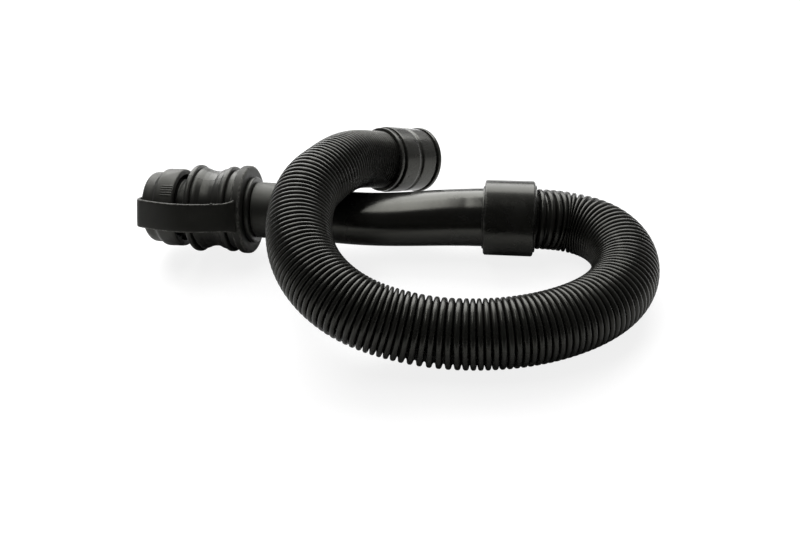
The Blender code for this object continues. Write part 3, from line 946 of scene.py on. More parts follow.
@dataclass
class OutletCollar(SubAssembly):
    """The outlet's moulding: neck, two beads with a waist between them, strap seat and spigot.

    Attributes:
        on: The outlet's stations.
        wall: Its wall's thickness.
        spigot_end: How far the spigot reaches into the squeeze tube.
        spigot_r: Outside radius of the spigot.
        ring_r: Radius of the ring that the squeeze tube butts on.
        seat_r: Radius of the strap's seat.
        rear_bead_r: Radius of the bead next to the seat.
        waist_r: Radius of the waist where it is thinnest.
        front_bead_r: Radius of the bead next to the cap.
        neck_r: Radius of the neck that the cap goes on.
        mouth_bore: Radius of the neck's bore.
        parting_angles: Where the mould's parting lines run, in degrees.
        parting_height: How proud a parting line is.
    """

    on: OutletAxis = field(default_factory=OutletAxis)
    wall: float = 0.0032
    spigot_end: float = 0.018
    spigot_r: float = 0.0212
    ring_r: float = 0.0286
    seat_r: float = 0.0262
    rear_bead_r: float = 0.0371
    waist_r: float = 0.0328
    front_bead_r: float = 0.0379
    neck_r: float = 0.0250
    mouth_bore: float = 0.0218
    parting_angles: tuple[float, float] = (103.0, 283.0)
    parting_height: float = 0.00016

    def moulded(self, x: Array, radius: Array, angle: Array) -> Array:
        """Raise the parting lines, and let the thin waist sink in slightly.

        A parting line is a squared cosine 0.5 mm wide on the outside. The waist sinks by a slow
        cosine of three times the angle, and has fine rings that are the sum of two sines of x.

        Args:
            x: Distances along the axis.
            radius: The plain surface's radius.
            angle: Angles round the axis.

        Returns:
            What is added to the radius.
        """
        outside = radius > 0.0300
        line = sum(ridge((angle - math.radians(a)) * radius, 0.00045) for a in self.parting_angles)
        waist = window(x, self.on.waist_start + 0.007, self.on.rear_bead - 0.007, 0.005)
        sink = -0.00035 * waist * (0.5 + 0.5 * np.cos(3 * angle + 0.6))
        rings = 0.00005 * waist * (np.sin(2900.0 * x) + 0.7 * np.sin(1730.0 * x + 1.0))
        return outside * (self.parting_height * line + sink + rings)

    def build(self) -> Piece:
        """Build the collar as one closed ring of revolution, hollow all the way."""
        at = self.on
        bore = self.spigot_r - self.wall
        chamber = self.waist_r - self.wall
        outline = [
            (self.spigot_end, bore),
            (self.spigot_end, self.spigot_r, 0.0008),
            (at.neck_ring, self.spigot_r),
            (at.neck_ring, self.ring_r, 0.0018),
            (at.seat_end, self.ring_r, 0.0018),
            (at.seat_end, self.seat_r, 0.0002),
            (at.seat_start, self.seat_r, 0.0002),
            (at.seat_start, 0.0343, 0.0012),
            (at.rear_bead_end + 0.0006, 0.0343, 0.0005),
            (at.rear_bead_end + 0.0003, 0.0331, 0.0002),
            (at.rear_bead_end - 0.0003, 0.0331, 0.0002),
            (at.rear_bead_end - 0.0006, self.rear_bead_r, 0.0028),
            (at.rear_bead + 0.0008, self.rear_bead_r, 0.0030),
            (at.rear_bead - 0.0006, 0.0354, 0.0016),
            (-0.0281, 0.0350, 0.0040),
            (-0.0315, 0.0332, 0.0040),
            (-0.0360, self.waist_r, 0.0050),
            (-0.0415, 0.0336, 0.0040),
            (-0.0450, 0.0352, 0.0030),
            (at.waist_start + 0.0010, 0.0356, 0.0008),
            (at.waist_start + 0.0008, 0.0342, 0.0003),
            (at.waist_start - 0.0002, 0.0342, 0.0003),
            (at.waist_start - 0.0006, self.front_bead_r, 0.0024),
            (at.front_bead + 0.0014, self.front_bead_r, 0.0030),
            (at.front_bead, 0.0299, 0.0026),
            (at.front_bead - 0.0018, self.neck_r, 0.0014),
            (-0.0640, self.neck_r, 0.0004),
            (-0.0646, 0.0252, 0.0002),
            (-0.0660, 0.0252, 0.0002),
            (-0.0666, self.neck_r, 0.0004),
            (at.mouth, self.neck_r, 0.0012),
            (at.mouth, self.mouth_bore, 0.0006),
            (at.front_bead + 0.004, self.mouth_bore, 0.0020),
            (at.waist_start + 0.003, chamber, 0.0020),
            (at.rear_bead, chamber, 0.0020),
            (at.seat_start, bore, 0.0010),
        ]
        spots = tuple((math.radians(a), 0.032, 0.0065) for a in self.parting_angles)
        shape = Turned(at.axis, outline, spacing=0.0013, spots=spots, swell=self.moulded)
        piece = shape.build("collar_moulding")
        return self.dress(piece, self.finishes.collar, HOSE_BODY, "outlet_collar")


@dataclass
class SqueezeTube(SubAssembly):
    """The soft tube that is pinched to throttle the flow.

    Attributes:
        on: The outlet's stations.
        outer_r: Outside radius.
        wall: Wall thickness.
        unevenness: How far the soft wall strays from round, in metres.
        depth: How far it sags at most under the hose that lies across it.
        squash: How much flatter it is there.
        skew: How far the deepest place lies towards the hose's cuff.
        free: Where it starts to sag, past the spigot inside it.
    """

    on: OutletAxis = field(default_factory=OutletAxis)
    outer_r: float = 0.0244
    wall: float = 0.0029
    unevenness: float = 0.00045
    depth: float = 0.0055
    squash: float = 0.0022
    skew: float = 0.85
    free: float = 0.0200

    def give(self, x: Array) -> Array:
        """Return how far the tube gives way, as a share: sin(pi * u ^ skew) ^ 2, u from 0 to 1."""
        share = np.clip((x - self.free) / (self.on.cuff_start - self.free), 0.0, 1.0)
        return np.sin(np.pi * share**self.skew) ** 2

    def hang(self, x: Array) -> Array:
        """Return how far the tube hangs below its axis."""
        return self.depth * self.give(x)

    def soft(self, x: Array, radius: Array, angle: Array) -> Array:
        """Let the soft wall stray from round.

        It is a slow wave along the tube on its upper front, plus a slighter one that goes twice
        round, both fading out at the tube's two ends. Where the tube gives way it is also flatter:
        the radius loses the squash times the angle's squared sine, and gains half the squash
        times its squared cosine.

        Args:
            x: Distances along the axis.
            radius: The plain surface's radius.
            angle: Angles round the axis.

        Returns:
            What is added to the radius.
        """
        fade = np.clip(x / 0.02, 0.0, 1.0) * np.clip((self.on.cuff_start - x) / 0.015, 0.0, 1.0)
        slow = np.sin(34.0 * x - 1.2) * np.cos(angle - math.radians(125.0))
        twice = 0.55 * np.cos(2 * angle + 21.0 * x + 0.4)
        flat = self.squash * self.give(x) * (0.5 * np.cos(angle) ** 2 - np.sin(angle) ** 2)
        return self.unevenness * fade * (slow + twice - 0.9) + flat * radius / self.outer_r

    def build(self) -> Piece:
        """Build the tube as one closed ring of revolution, with a rounded visible end."""
        inner = self.outer_r - self.wall
        end = self.on.cuff_web - CLEARANCE
        outline = [
            (0.0, inner, 0.0006),
            (0.0, self.outer_r - 0.0002, 0.0016),
            (0.0060, self.outer_r, 0.0010),
            (end, self.outer_r),
            (end, inner),
        ]
        shape = Turned(self.on.axis, outline, spacing=0.0022, swell=self.soft, sag=self.hang)
        piece = shape.build("squeeze_tube_skin")
        return self.dress(piece, self.finishes.tube, HOSE_BODY, "squeeze_tube")


@dataclass
class JoiningCuff(SubAssembly):
    """The cuff between the squeeze tube and the stretch hose.

    Attributes:
        on: The outlet's stations.
        outer_r: Outside radius.
        chamfer: Width of the chamfer at both ends.
        lip: How far the thin lips stand out of both ends.
        tube_lip_r: Outside radius of the lip round the tube.
        hose_lip_r: Outside radius of the lip round the hose.
        tube_socket_r: Radius of the socket for the tube.
        hose_socket_r: Radius of the socket for the hose.
        web_bore: Radius of the hole through the web.
    """

    on: OutletAxis = field(default_factory=OutletAxis)
    outer_r: float = 0.0314
    chamfer: float = 0.0012
    lip: float = 0.0014
    tube_lip_r: float = 0.0262
    hose_lip_r: float = 0.0278
    tube_socket_r: float = 0.0247
    hose_socket_r: float = 0.0253
    web_bore: float = 0.0190

    def build(self) -> Piece:
        """Build the cuff as one closed ring of revolution: a web between two sockets, with lips."""
        at = self.on
        outer, cut = self.outer_r, self.chamfer
        outline = [
            (at.cuff_start - self.lip, self.tube_socket_r, 0.0003),
            (at.cuff_start - self.lip, self.tube_lip_r, 0.0005),
            (at.cuff_start, self.tube_lip_r + 0.0002, 0.0003),
            (at.cuff_start, outer - cut, 0.0004),
            (at.cuff_start + 0.9 * cut, outer, 0.0006),
            (at.cuff_end - 0.9 * cut, outer, 0.0006),
            (at.cuff_end, outer - cut, 0.0004),
            (at.cuff_end, self.hose_lip_r + 0.0002, 0.0003),
            (at.cuff_end + self.lip, self.hose_lip_r, 0.0005),
            (at.cuff_end + self.lip, 0.0262, 0.0004),
            (at.cuff_end - 0.0012, self.hose_socket_r, 0.0003),
            (at.cuff_web_end, self.hose_socket_r),
            (at.cuff_web_end, self.web_bore),
            (at.cuff_web, self.web_bore),
            (at.cuff_web, self.tube_socket_r),
        ]
        shape = Turned(at.axis, outline, spacing=0.0016)
        piece = shape.build("joining_cuff_shell")
        return self.dress(piece, self.finishes.cuff, HOSE_BODY, "joining_cuff")


@dataclass
class CapStrap(SubAssembly):
    """The ring round the collar, and the flat strap from it round the cap's end to the cap's stud.

    Attributes:
        on: The outlet's stations.
        ring_r: Outside radius of the ring.
        width: Width of the strap.
        thickness: Thickness of the strap.
        angle: Where the strap lies round the axis, in degrees.
        bow: How far the strap bows out in the middle of its run.
        lift: How far it stands off the ring's own line.
        drop: How far its far end comes in towards the axis.
        turn_r: Radius of the turn round the cap's end.
        stand_off: How far the turn reaches past the cap's end.
        tab_r: Radius of the tab on the stud.
        lean: How much further out the strap's lower edge lies than its upper edge at the turn.
        ring_bore: Radius of the ring's bore.
        hole_r: Radius of the tab's hole.
        flare: How much wider each side is where the strap leaves the ring.
        narrow: How much narrower each side is at the tab.
        nub_at: Where the nub lies along the outlet's axis.
        nub_half: The nub's half sizes along the axis, outwards and across.
    """

    on: OutletAxis = field(default_factory=OutletAxis)
    ring_r: float = 0.0382
    width: float = 0.0234
    thickness: float = 0.0030
    angle: float = 159.3
    bow: float = 0.0130
    lift: float = 0.0023
    drop: float = 0.0041
    turn_r: float = 0.0140
    stand_off: float = 0.0085
    tab_r: float = 0.0110
    lean: float = 0.0024
    ring_bore: float = 0.0265
    hole_r: float = 0.0043
    flare: float = 0.0022
    narrow: float = 0.0035
    nub_at: float = -0.0245
    nub_half: tuple[float, float, float] = (0.0016, 0.0011, 0.0008)

    def middle_line(self) -> Array:
        """Work out the strap's middle line.

        The run is a straight line plus half a sine wave. The turn is a circle's arc that starts in
        the run's direction and ends across the axis. A straight stretch leads from it to the tab.

        Returns:
            Points (x, distance from the axis), shape (n, 2), evenly spaced.
        """
        at = self.on
        start = np.array(((at.seat_start + at.seat_end) / 2, self.ring_r - self.thickness / 3))
        far = np.array((at.cap_end + self.turn_r - self.stand_off, self.ring_r - self.drop))
        t = np.linspace(0.0, 1.0, 60)[:, None]
        step_up = self.lift * np.sin(np.minimum(1.0, 7.0 * t) * np.pi / 2)
        rise = self.bow * np.sin(np.pi * t) + step_up
        run = start + (far - start) * t + rise * np.array((0.0, 1.0))
        heading = (run[-1] - run[-2]) / np.linalg.norm(run[-1] - run[-2])
        centre = run[-1] + np.array((-heading[1], heading[0])) * self.turn_r
        full = np.pi / 2 - np.arctan2(-heading[1], -heading[0])
        swing = full * np.linspace(0.0, 1.0, 40)[1:, None]
        spoke = run[-1] - centre
        across = np.array((-spoke[1], spoke[0]))
        turn = centre + np.cos(swing) * spoke + np.sin(swing) * across
        tab = np.array([(at.strap_tab, self.tab_r + 0.0030), (at.strap_tab, 0.0070)])
        lead = (turn[-1] + tab[0]) / 2 + np.array((-0.0005, 0.0))
        return evened(np.vstack([run, turn, lead[None], tab]), 110)[0]

    def band(self) -> Piece:
        """Build the flat strap.

        Each row is a rounded oblong, |a / half width|^p + |b / half thickness|^p = 1 with p = 7,
        set across the middle line. It widens a little where it leaves the ring. Round the turn its
        lower edge leans out by a squared sine of the distance along it.
        """
        line = self.middle_line()
        rows, columns = len(line), 56
        heading = np.gradient(line, axis=0)
        heading /= np.linalg.norm(heading, axis=1)[:, None]
        normal = np.stack([-heading[:, 1], heading[:, 0]], axis=1)
        s = np.linspace(0.0, 1.0, rows)
        flare = self.flare * np.clip(1.0 - s / 0.10, 0.0, 1.0) ** 2
        narrow = self.narrow * np.clip((s - 0.88) / 0.12, 0.0, 1.0) ** 2
        half = self.width / 2 + flare - narrow
        theta = (np.arange(columns) + 0.5) * 2 * np.pi / columns
        power = 2.0 / 7.0
        flat = np.sign(np.cos(theta)) * np.abs(np.cos(theta)) ** power
        thick = np.sign(np.sin(theta)) * np.abs(np.sin(theta)) ** power * self.thickness / 2
        spread = half[:, None] * flat[None, :]
        lean = self.lean * np.sin(np.pi * np.clip((s - 0.45) / 0.50, 0.0, 1.0)) ** 2
        outwards = lean[:, None] * (1.0 + flat[None, :]) / 2
        in_plane = line[:, None, :] + normal[:, None, :] * thick[None, :, None]
        along, side, up = self.on.axis.basis()
        out = math.cos(math.radians(self.angle)) * side + math.sin(math.radians(self.angle)) * up
        over = np.cross(along, out)
        points = (
            np.array(self.on.origin)
            + (in_plane[..., :1] - outwards[..., None]) * along
            + in_plane[..., 1:] * out
            + spread[..., None] * over
        )
        first = points[:1].mean(axis=1, keepdims=True) + np.zeros((1, columns, 3))
        last = points[-1:].mean(axis=1, keepdims=True) + np.zeros((1, columns, 3))
        points = np.concatenate([first, points, last])
        edge = 0.9 * np.clip((np.abs(np.cos(theta)) - 0.72) / 0.12, 0.0, 1.0)
        worn = np.broadcast_to(edge, points.shape[:2])
        piece = grid_object("strap_band", points, False, edge=worn, sharp=60.0)
        return self.dress(piece, self.finishes.strap, HOSE_BODY, "cap_strap")

    def ring(self) -> Piece:
        """Build the strap's ring as one closed ring of revolution in the collar's seat."""
        at = self.on
        start, end = at.seat_start + CLEARANCE, at.seat_end - CLEARANCE
        outline = [
            (start, self.ring_bore, 0.0004),
            (end, self.ring_bore, 0.0004),
            (end, self.ring_r, 0.0026),
            (start, self.ring_r, 0.0026),
        ]
        shape = Turned(at.axis, outline, spacing=0.0009, sides=128)
        return self.dress(shape.build("strap_ring"), self.finishes.strap, HOSE_BODY, "cap_strap")

    def tab(self) -> Piece:
        """Build the strap's round tab, with its hole round the cap's stud."""
        at = self.on
        half = self.thickness / 2
        outline = [
            (at.strap_tab - half, self.hole_r, 0.0004),
            (at.strap_tab + half, self.hole_r, 0.0004),
            (at.strap_tab + half, self.tab_r, 0.0007),
            (at.strap_tab - half, self.tab_r, 0.0007),
        ]
        shape = Turned(at.axis, outline, spacing=0.0009, sides=72)
        return self.dress(shape.build("strap_tab"), self.finishes.strap, HOSE_BODY, "cap_strap")

    def nub(self) -> Piece:
        """Build the small moulded nub on the strap's upper edge, as a half-sunk ellipsoid."""
        at = self.on
        along, side, up = at.axis.basis()
        out = math.cos(math.radians(self.angle)) * side + math.sin(math.radians(self.angle)) * up
        over = np.cross(out, along)
        line = self.middle_line()
        reach = float(np.interp(-self.nub_at, -line[:60, 0], line[:60, 1]))
        middle = np.array(at.origin) + self.nub_at * along + reach * out + over * self.width / 2
        steps = np.linspace(0, np.pi, 13), np.arange(24) * np.pi / 12
        polar, turn = np.meshgrid(*steps, indexing="ij")
        half = self.nub_half
        local = (
            half[0] * (np.sin(polar) * np.cos(turn))[..., None] * along
            + half[1] * (np.sin(polar) * np.sin(turn))[..., None] * out
            + half[2] * np.cos(polar)[..., None] * over
        )
        piece = grid_object("strap_nub", middle + local, False)
        return self.dress(piece, self.finishes.strap, HOSE_BODY)

    def build(self) -> list[Piece]:
        """Build the ring, the strap, its tab and its nub."""
        return [self.ring(), self.band(), self.tab(), self.nub()]


@dataclass
class MachineCuff(SubAssembly):
    """The cuff that pushes over the machine's drain spigot.

    Attributes:
        face: The middle of its hose side.
        direction: Which way it points.
        length: Its length.
        lip_r: Radius of the lip at the hose side.
        groove_r: Radius of the groove behind the lip.
        band_r: Radius of the band next to the groove.
        dip_r: Radius of the dip between the two bands.
        socket_r: Radius of the hose's socket.
        mouth_r: Radius of the mouth.
        web: Where the web starts.
        web_end: Where the web ends and the mouth starts.
        web_bore: Radius of the hole through the web.
        gate: Where the gate mark lies: distance along the cuff and angle in degrees.
        gate_r: Radius of the gate mark.
        gate_depth: How deep the gate mark is.
    """

    face: Point = (-0.0131, 0.0817, 0.0622)
    direction: Point = (0.5900, 0.7195, -0.3660)
    length: float = 0.0504
    lip_r: float = 0.0280
    groove_r: float = 0.0270
    band_r: float = 0.0289
    dip_r: float = 0.0276
    socket_r: float = 0.0253
    mouth_r: float = 0.0252
    web: float = 0.0200
    web_end: float = 0.0230
    web_bore: float = 0.0190
    gate: tuple[float, float] = (0.0110, 194.0)
    gate_r: float = 0.0011
    gate_depth: float = 0.0005

    @property
    def axis(self) -> Axis:
        """The cuff's axis."""
        return Axis(self.face, self.direction)

    def marked(self, x: Array, radius: Array, angle: Array) -> Array:
        """Sink the gate mark: a shallow round dimple, a squared cosine of the distance from it.

        Args:
            x: Distances along the axis.
            radius: The plain surface's radius.
            angle: Angles round the axis.

        Returns:
            What is added to the radius.
        """
        across = (angle - math.radians(self.gate[1])) * radius
        distance = np.hypot(x - self.gate[0], across)
        return -self.gate_depth * ridge(distance, self.gate_r) * (radius > self.groove_r)

    def build(self) -> Piece:
        """Build the cuff as one closed ring of revolution: socket, web and open mouth."""
        end = self.length
        outline = [
            (0.0, self.socket_r, 0.0004),
            (0.0, self.lip_r, 0.0009),
            (0.0036, self.lip_r, 0.0009),
            (0.0036, self.groove_r, 0.0003),
            (0.0060, self.groove_r, 0.0003),
            (0.0060, self.band_r, 0.0009),
            (0.0224, self.band_r, 0.0012),
            (0.0241, self.dip_r, 0.0008),
            (0.0260, self.dip_r, 0.0008),
            (0.0278, 0.0285, 0.0012),
            (0.0436, 0.0284, 0.0010),
            (0.0436, 0.0271, 0.0003),
            (0.0460, 0.0271, 0.0003),
            (0.0460, 0.0293, 0.0009),
            (end - 0.0012, 0.0295, 0.0010),
            (end, 0.0284, 0.0006),
            (end, 0.0258, 0.0005),
            (end - 0.0010, self.mouth_r, 0.0004),
            (self.web_end, self.mouth_r, 0.0004),
            (self.web_end, self.web_bore, 0.0003),
            (self.web, self.web_bore),
            (self.web, self.socket_r),
        ]
        spot = (math.radians(self.gate[1]), 0.06, 0.009)
        shape = Turned(self.axis, outline, spacing=0.0009, spots=(spot,), swell=self.marked)
        piece = shape.build("machine_cuff_shell")
        return self.dress(piece, self.finishes.machine, HOSE_BODY, "machine_cuff")


@dataclass
class StretchHose(SubAssembly):
    """The corrugated hose: U-shaped ribs carried along its route, with a smooth bore.

    Attributes:
        on: The outlet's stations.
        cuff: The machine cuff, which gives the route's far end.
        route: The points between the two cuffs.
        pitch_shares: Shares of the length at which the ribs' pitch is given.
        pitches: The pitch there, in metres.
        outer_r: Radius of the crests.
        root_r: Radius of the grooves.
        bore_r: Radius of the bore.
        crest: Width of a crest.
        sides: Steps round the hose.
    """

    on: OutletAxis = field(default_factory=OutletAxis)
    cuff: MachineCuff | None = None
    route: tuple[Point, ...] = (
        (0.1480, 0.0368, 0.0268),
        (0.1688, 0.0293, 0.0252),
        (0.1840, 0.0105, 0.0251),
        (0.1904, -0.0128, 0.0251),
        (0.1891, -0.0370, 0.0251),
        (0.1807, -0.0597, 0.0251),
        (0.1657, -0.0788, 0.0251),
        (0.1463, -0.0934, 0.0251),
        (0.1244, -0.1039, 0.0251),
        (0.1010, -0.1103, 0.0251),
        (0.0768, -0.1128, 0.0251),
        (0.0525, -0.1130, 0.0263),
        (0.0287, -0.1131, 0.0313),
        (0.0057, -0.1116, 0.0387),
        (-0.0157, -0.1041, 0.0468),
        (-0.0337, -0.0900, 0.0547),
        (-0.0465, -0.0711, 0.0622),
        (-0.0537, -0.0491, 0.0692),
        (-0.0561, -0.0257, 0.0756),
        (-0.0534, -0.0020, 0.0800),
        (-0.0458, 0.0210, 0.0802),
        (-0.0369, 0.0433, 0.0784),
        (-0.0265, 0.0640, 0.0716),
    )
    pitch_shares: tuple[float, ...] = (
        0.0, 0.18, 0.21, 0.24, 0.38, 0.46, 0.48, 0.52, 0.55, 0.66, 0.70, 0.85, 0.89, 1.0,
    )
    pitches: tuple[float, ...] = (
        0.0052, 0.0052, 0.0047, 0.0041, 0.0042, 0.0047, 0.0060,
        0.0061, 0.0043, 0.0036, 0.0039, 0.0043, 0.0028, 0.0027,
    )
    outer_r: float = 0.0250
    root_r: float = 0.0211
    bore_r: float = 0.0190
    crest: float = 0.0044
    sides: int = 64

    def line(self) -> tuple[Array, float]:
        """Work out the hose's middle line: straight in both cuffs, and a spline between them.

        Returns:
            Even points on the line, shape (n, 3), and its length.
        """
        outlet, machine = self.on.axis, self.cuff.axis
        web = outlet.at(self.on.cuff_web_end + CLEARANCE)
        leaves = outlet.at(self.on.cuff_end)
        stop = machine.at(0.0200 - CLEARANCE)
        knots = [leaves, *(np.array(point) for point in self.route), machine.at(0.0)]
        free = spline(knots, outlet.basis()[0], machine.basis()[0])
        return evened(np.vstack([web[None], free, stop[None]]), 1600)

    def crests(self, length: float) -> tuple[Array, Array]:
        """Place whole ribs so that their pitch follows the hose's stretch.

        The count of ribs is the integral of one over the pitch.

        Args:
            length: The hose's length.

        Returns:
            The crests' distances along the hose, and the pitch at each.
        """
        s = np.linspace(0.0, length, 4000)
        pitch = np.interp(s / length, self.pitch_shares, self.pitches)
        count = np.concatenate(([0.0], np.cumsum(np.diff(s) * 2 / (pitch[1:] + pitch[:-1]))))
        ribs = int(round(count[-1]))
        edges = np.interp(np.arange(ribs + 1), count * ribs / count[-1], s)
        return (edges[1:] + edges[:-1]) / 2, np.diff(edges)

    def build(self) -> Piece:
        """Build the hose.

        A rib's section is a row of (distance from the crest's middle, radius, wear), and its top is
        nearly half a circle. The distance is kept in real width on every side: where the hose
        bends, it is divided by 1 - radius * curvature * cosine, so crests keep their width and the
        gaps open outside the bend and close inside it.

        Returns:
            The hose.
        """
        line, length = self.line()
        s = np.linspace(0.0, length, len(line))
        along = np.gradient(line, s, axis=0)
        along /= np.linalg.norm(along, axis=1)[:, None]
        curve = np.gradient(along, s, axis=0)
        side = np.zeros_like(line)
        last = np.cross(along[0], (0.0, 0.0, 1.0))
        for k, direction in enumerate(along):
            last = last - direction * last.dot(direction)
            last = last / np.linalg.norm(last)
            side[k] = last
        up = np.cross(along, side)
        middle, pitch = self.crests(length)

        def pick(table: Array, where: Array) -> Array:
            """Return a table's vectors at distances along the hose."""
            return np.stack([np.interp(where, s, table[:, k]) for k in range(3)], axis=-1)

        angle = np.arange(self.sides) * 2 * np.pi / self.sides
        cosine, sine = np.cos(angle)[None, :, None], np.sin(angle)[None, :, None]
        ring = cosine * pick(side, middle)[:, None] + sine * pick(up, middle)[:, None]
        shrink = 1.0 - self.outer_r * np.sum(ring * pick(curve, middle)[:, None], axis=-1)
        room = np.broadcast_to(pitch[:, None], shrink.shape)
        half = np.minimum(self.crest / 2 / shrink, 0.41 * room)
        foot = np.minimum(half + 0.07 * room, 0.485 * room)
        top, low = self.outer_r, self.root_r
        section = (
            (-0.5 * room, low, 0.0),
            (-foot, low + 0.0004, 0.0),
            (-half, top - 0.0021, 0.1),
            (-0.86 * half, top - 0.0009, 0.4),
            (-0.46 * half, top - 0.0001, 0.3),
            (np.zeros_like(half), top, 0.3),
            (0.46 * half, top - 0.0001, 0.3),
            (0.86 * half, top - 0.0009, 0.4),
            (half, top - 0.0021, 0.1),
            (foot, low + 0.0004, 0.0),
        )
        shape = (len(middle), len(section), self.sides)
        where = np.stack([middle[:, None] + offset for offset, _, _ in section], axis=1)
        radius = np.broadcast_to(np.array([r for _, r, _ in section])[None, :, None], shape)
        worn = np.broadcast_to(np.array([w for _, _, w in section])[None, :, None], shape)
        where = np.clip(where.reshape(-1, self.sides), 0.0, length)
        radius, worn = radius.reshape(-1, self.sides), worn.reshape(-1, self.sides)
        end = np.full((1, self.sides), length)
        where = np.vstack([where, end])
        radius = np.vstack([radius, np.full((1, self.sides), low)])
        worn = np.vstack([worn, 0 * end])
        rings = (65, self.sides)
        bore_at = np.broadcast_to(np.linspace(length, 0.0, rings[0])[:, None], rings)
        where = np.vstack([where, bore_at])
        radius = np.vstack([radius, np.full(rings, self.bore_r)])
        worn = np.vstack([worn, 0 * bore_at])
        outwards = cosine * pick(side, where) + sine * pick(up, where)
        points = pick(line, where) + radius[..., None] * outwards
        piece = grid_object("stretch_hose_skin", points, True, edge=worn, sharp=80.0)
        self.dress(piece, self.finishes.hose, HOSE_BODY, "stretch_hose")
        self.middle_line, self.length = line, length
        LOG.info("the hose is %.3f m long with %d ribs", length, len(middle))
        return piece


# The studio


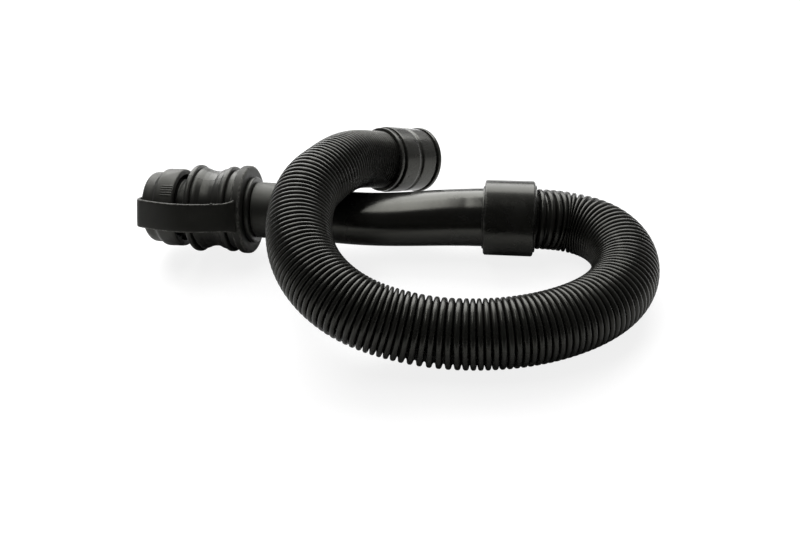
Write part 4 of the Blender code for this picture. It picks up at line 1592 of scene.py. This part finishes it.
@dataclass
class Studio:
    """The floor, the lights and the camera.

    Attributes:
        camera_at: The camera's place.
        right: The picture's right.
        up: The picture's up.
        focal_px: Focal length in pixels of an 800 pixel wide picture.
        greys: How pale the world is in front and behind, for other rays than the camera's.
        floor_glow: How much the floor glows for the camera alone.
    """

    camera_at: Point = (0.108445, -0.527197, 0.366102)
    right: Point = (0.98866, 0.13347, -0.06885)
    up: Point = (-0.01871, 0.56433, 0.82534)
    focal_px: float = 770.06
    greys: tuple[float, float] = (0.07, 0.40)
    floor_glow: float = 0.84

    def camera(self) -> Piece:
        """Make the camera at the photograph's viewpoint."""
        lens = bpy.data.cameras.new("studio_camera")
        lens.sensor_width = 36.0
        lens.lens = self.focal_px * 36.0 / 800.0
        lens.clip_start = 0.01
        eye = bpy.data.objects.new("studio_camera", lens)
        back = np.cross(self.right, self.up)
        turn = Matrix([[r, u, b] for r, u, b in zip(self.right, self.up, back)]).to_4x4()
        eye.matrix_world = Matrix.Translation(self.camera_at) @ turn
        bpy.context.scene.collection.objects.link(eye)
        bpy.context.scene.camera = eye
        return eye

    def softbox(
        self, name: str, middle: Point, target: Point, size: tuple[float, float], watts: float
    ) -> Piece:
        """Make a rectangular soft light.

        Args:
            name: Its name.
            middle: Where it hangs.
            target: What it faces.
            size: Its width and height.
            watts: Its power.

        Returns:
            The light.
        """
        lamp = bpy.data.lights.new(name, "AREA")
        lamp.shape = "RECTANGLE"
        lamp.size, lamp.size_y = size
        lamp.energy = watts
        light = bpy.data.objects.new(name, lamp)
        back = np.array(middle) - np.array(target)
        back /= np.linalg.norm(back)
        right = np.cross((0.0, 1.0, 0.0), back)
        right /= np.linalg.norm(right)
        turn = Matrix(np.stack([right, np.cross(back, right), back], axis=1).tolist()).to_4x4()
        light.matrix_world = Matrix.Translation(middle) @ turn
        bpy.context.scene.collection.objects.link(light)
        return light

    def surroundings(self) -> None:
        """Make the world: white to the camera, and for other rays pale behind and dark in front."""
        world = bpy.data.worlds.new("studio_world")
        bpy.context.scene.world = world
        world.use_nodes = True
        sheet = Sheet(world.node_tree)
        world.node_tree.nodes.clear()
        split = sheet.node("ShaderNodeSeparateXYZ")
        sheet.link(sheet.node("ShaderNodeTexCoord").outputs["Generated"], split.inputs[0])
        behind = sheet.spread(split.outputs["Y"], -0.25, 0.45, self.greys)
        seen = sheet.node("ShaderNodeLightPath").outputs["Is Camera Ray"]
        strength = sheet.math("MAXIMUM", seen, behind)
        sky = sheet.node("ShaderNodeBackground")
        sky.inputs["Color"].default_value = (1.0, 1.0, 1.0, 1.0)
        sheet.link(strength, sky.inputs["Strength"])
        sheet.link(sky.outputs[0], sheet.node("ShaderNodeOutputWorld").inputs["Surface"])

    def floor(self) -> Piece:
        """Make the pale floor, a plain level sheet with a very slight mottle, greyer to other rays and
        paler behind than in front, which is painted light.
        """
        reach = 6.0
        grid = np.array([[(x, y, 0.0) for y in (-reach, reach)] for x in (-reach, reach)])
        floor = grid_object("studio_floor", grid, False, close_columns=False)
        if floor.data.polygons[0].normal.z < 0:
            floor.data.flip_normals()
        material = bpy.data.materials.new("studio_floor")
        material.use_nodes = True
        sheet = Sheet(material.node_tree)
        shader = material.node_tree.nodes["Principled BSDF"]
        place = sheet.node("ShaderNodeTexCoord").outputs["Object"]
        tint = sheet.node("ShaderNodeMix", data_type="RGBA")
        tint.inputs["A"].default_value = (0.19, 0.19, 0.19, 1.0)
        tint.inputs["B"].default_value = (0.21, 0.21, 0.21, 1.0)
        sheet.link(sheet.noise(place, 3.0, 2.0), tint.inputs["Factor"])
        seen = sheet.node("ShaderNodeLightPath").outputs["Is Camera Ray"]
        shown = sheet.node("ShaderNodeMix", data_type="RGBA")
        split = sheet.node("ShaderNodeSeparateXYZ")
        sheet.link(place, split.inputs[0])
        # Painted light: to other rays the floor is paler behind than in front, 0.80 to 0.85 along y,
        # standing in for light that falls from behind.
        painted_backlight_grey = sheet.spread(split.outputs["Y"], 0.05, 0.60, (0.80, 0.85))
        sheet.link(painted_backlight_grey, shown.inputs["A"])
        sheet.link(tint.outputs["Result"], shown.inputs["B"])
        sheet.link(seen, shown.inputs["Factor"])
        sheet.link(shown.outputs["Result"], shader.inputs["Base Color"])
        shader.inputs["Emission Color"].default_value = (1.0, 1.0, 1.0, 1.0)
        glow = sheet.math("MULTIPLY", seen, self.floor_glow)
        sheet.link(glow, shader.inputs["Emission Strength"])
        shader.inputs["Roughness"].default_value = 0.6
        shader.inputs["Specular IOR Level"].default_value = 0.2
        floor.data.materials.append(material)
        return floor

    def build(self) -> None:
        """Build the studio."""
        self.camera()
        self.surroundings()
        self.floor()
        self.softbox(
            "rear_softbox",
            middle=(-0.20, 1.05, 0.95),
            target=(0.0, 0.0, 0.03),
            size=(2.2, 1.1),
            watts=42.0,
        )
        self.softbox(
            "overhead_softbox",
            middle=(-0.37, 0.20, 1.50),
            target=(-0.37, 0.20, 0.0),
            size=(0.40, 1.2),
            watts=9.0,
        )
        view = bpy.context.scene.view_settings
        view.view_transform = "Standard"


def main() -> None:
    logging.basicConfig(level=logging.INFO, format="%(name)s: %(message)s")
    Studio().build()
    effects, finishes = Effects(), Finishes()
    cuff = MachineCuff(effects, finishes)
    hose = StretchHose(effects, finishes, cuff=cuff)
    hose_skin, cuff_shell = hose.build(), cuff.build()
    for part in (OutletCollar, SqueezeTube, JoiningCuff, DrainCap, CapStrap):
        part(effects, finishes).build()
    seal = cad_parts["cap_seal"]
    seal.data.materials.clear()
    seal.data.materials.append(finishes.seal.material(effects))
    tuple(hose.on.axis.at(hose.on.cuff_end))


if __name__ == "__main__":
    main()
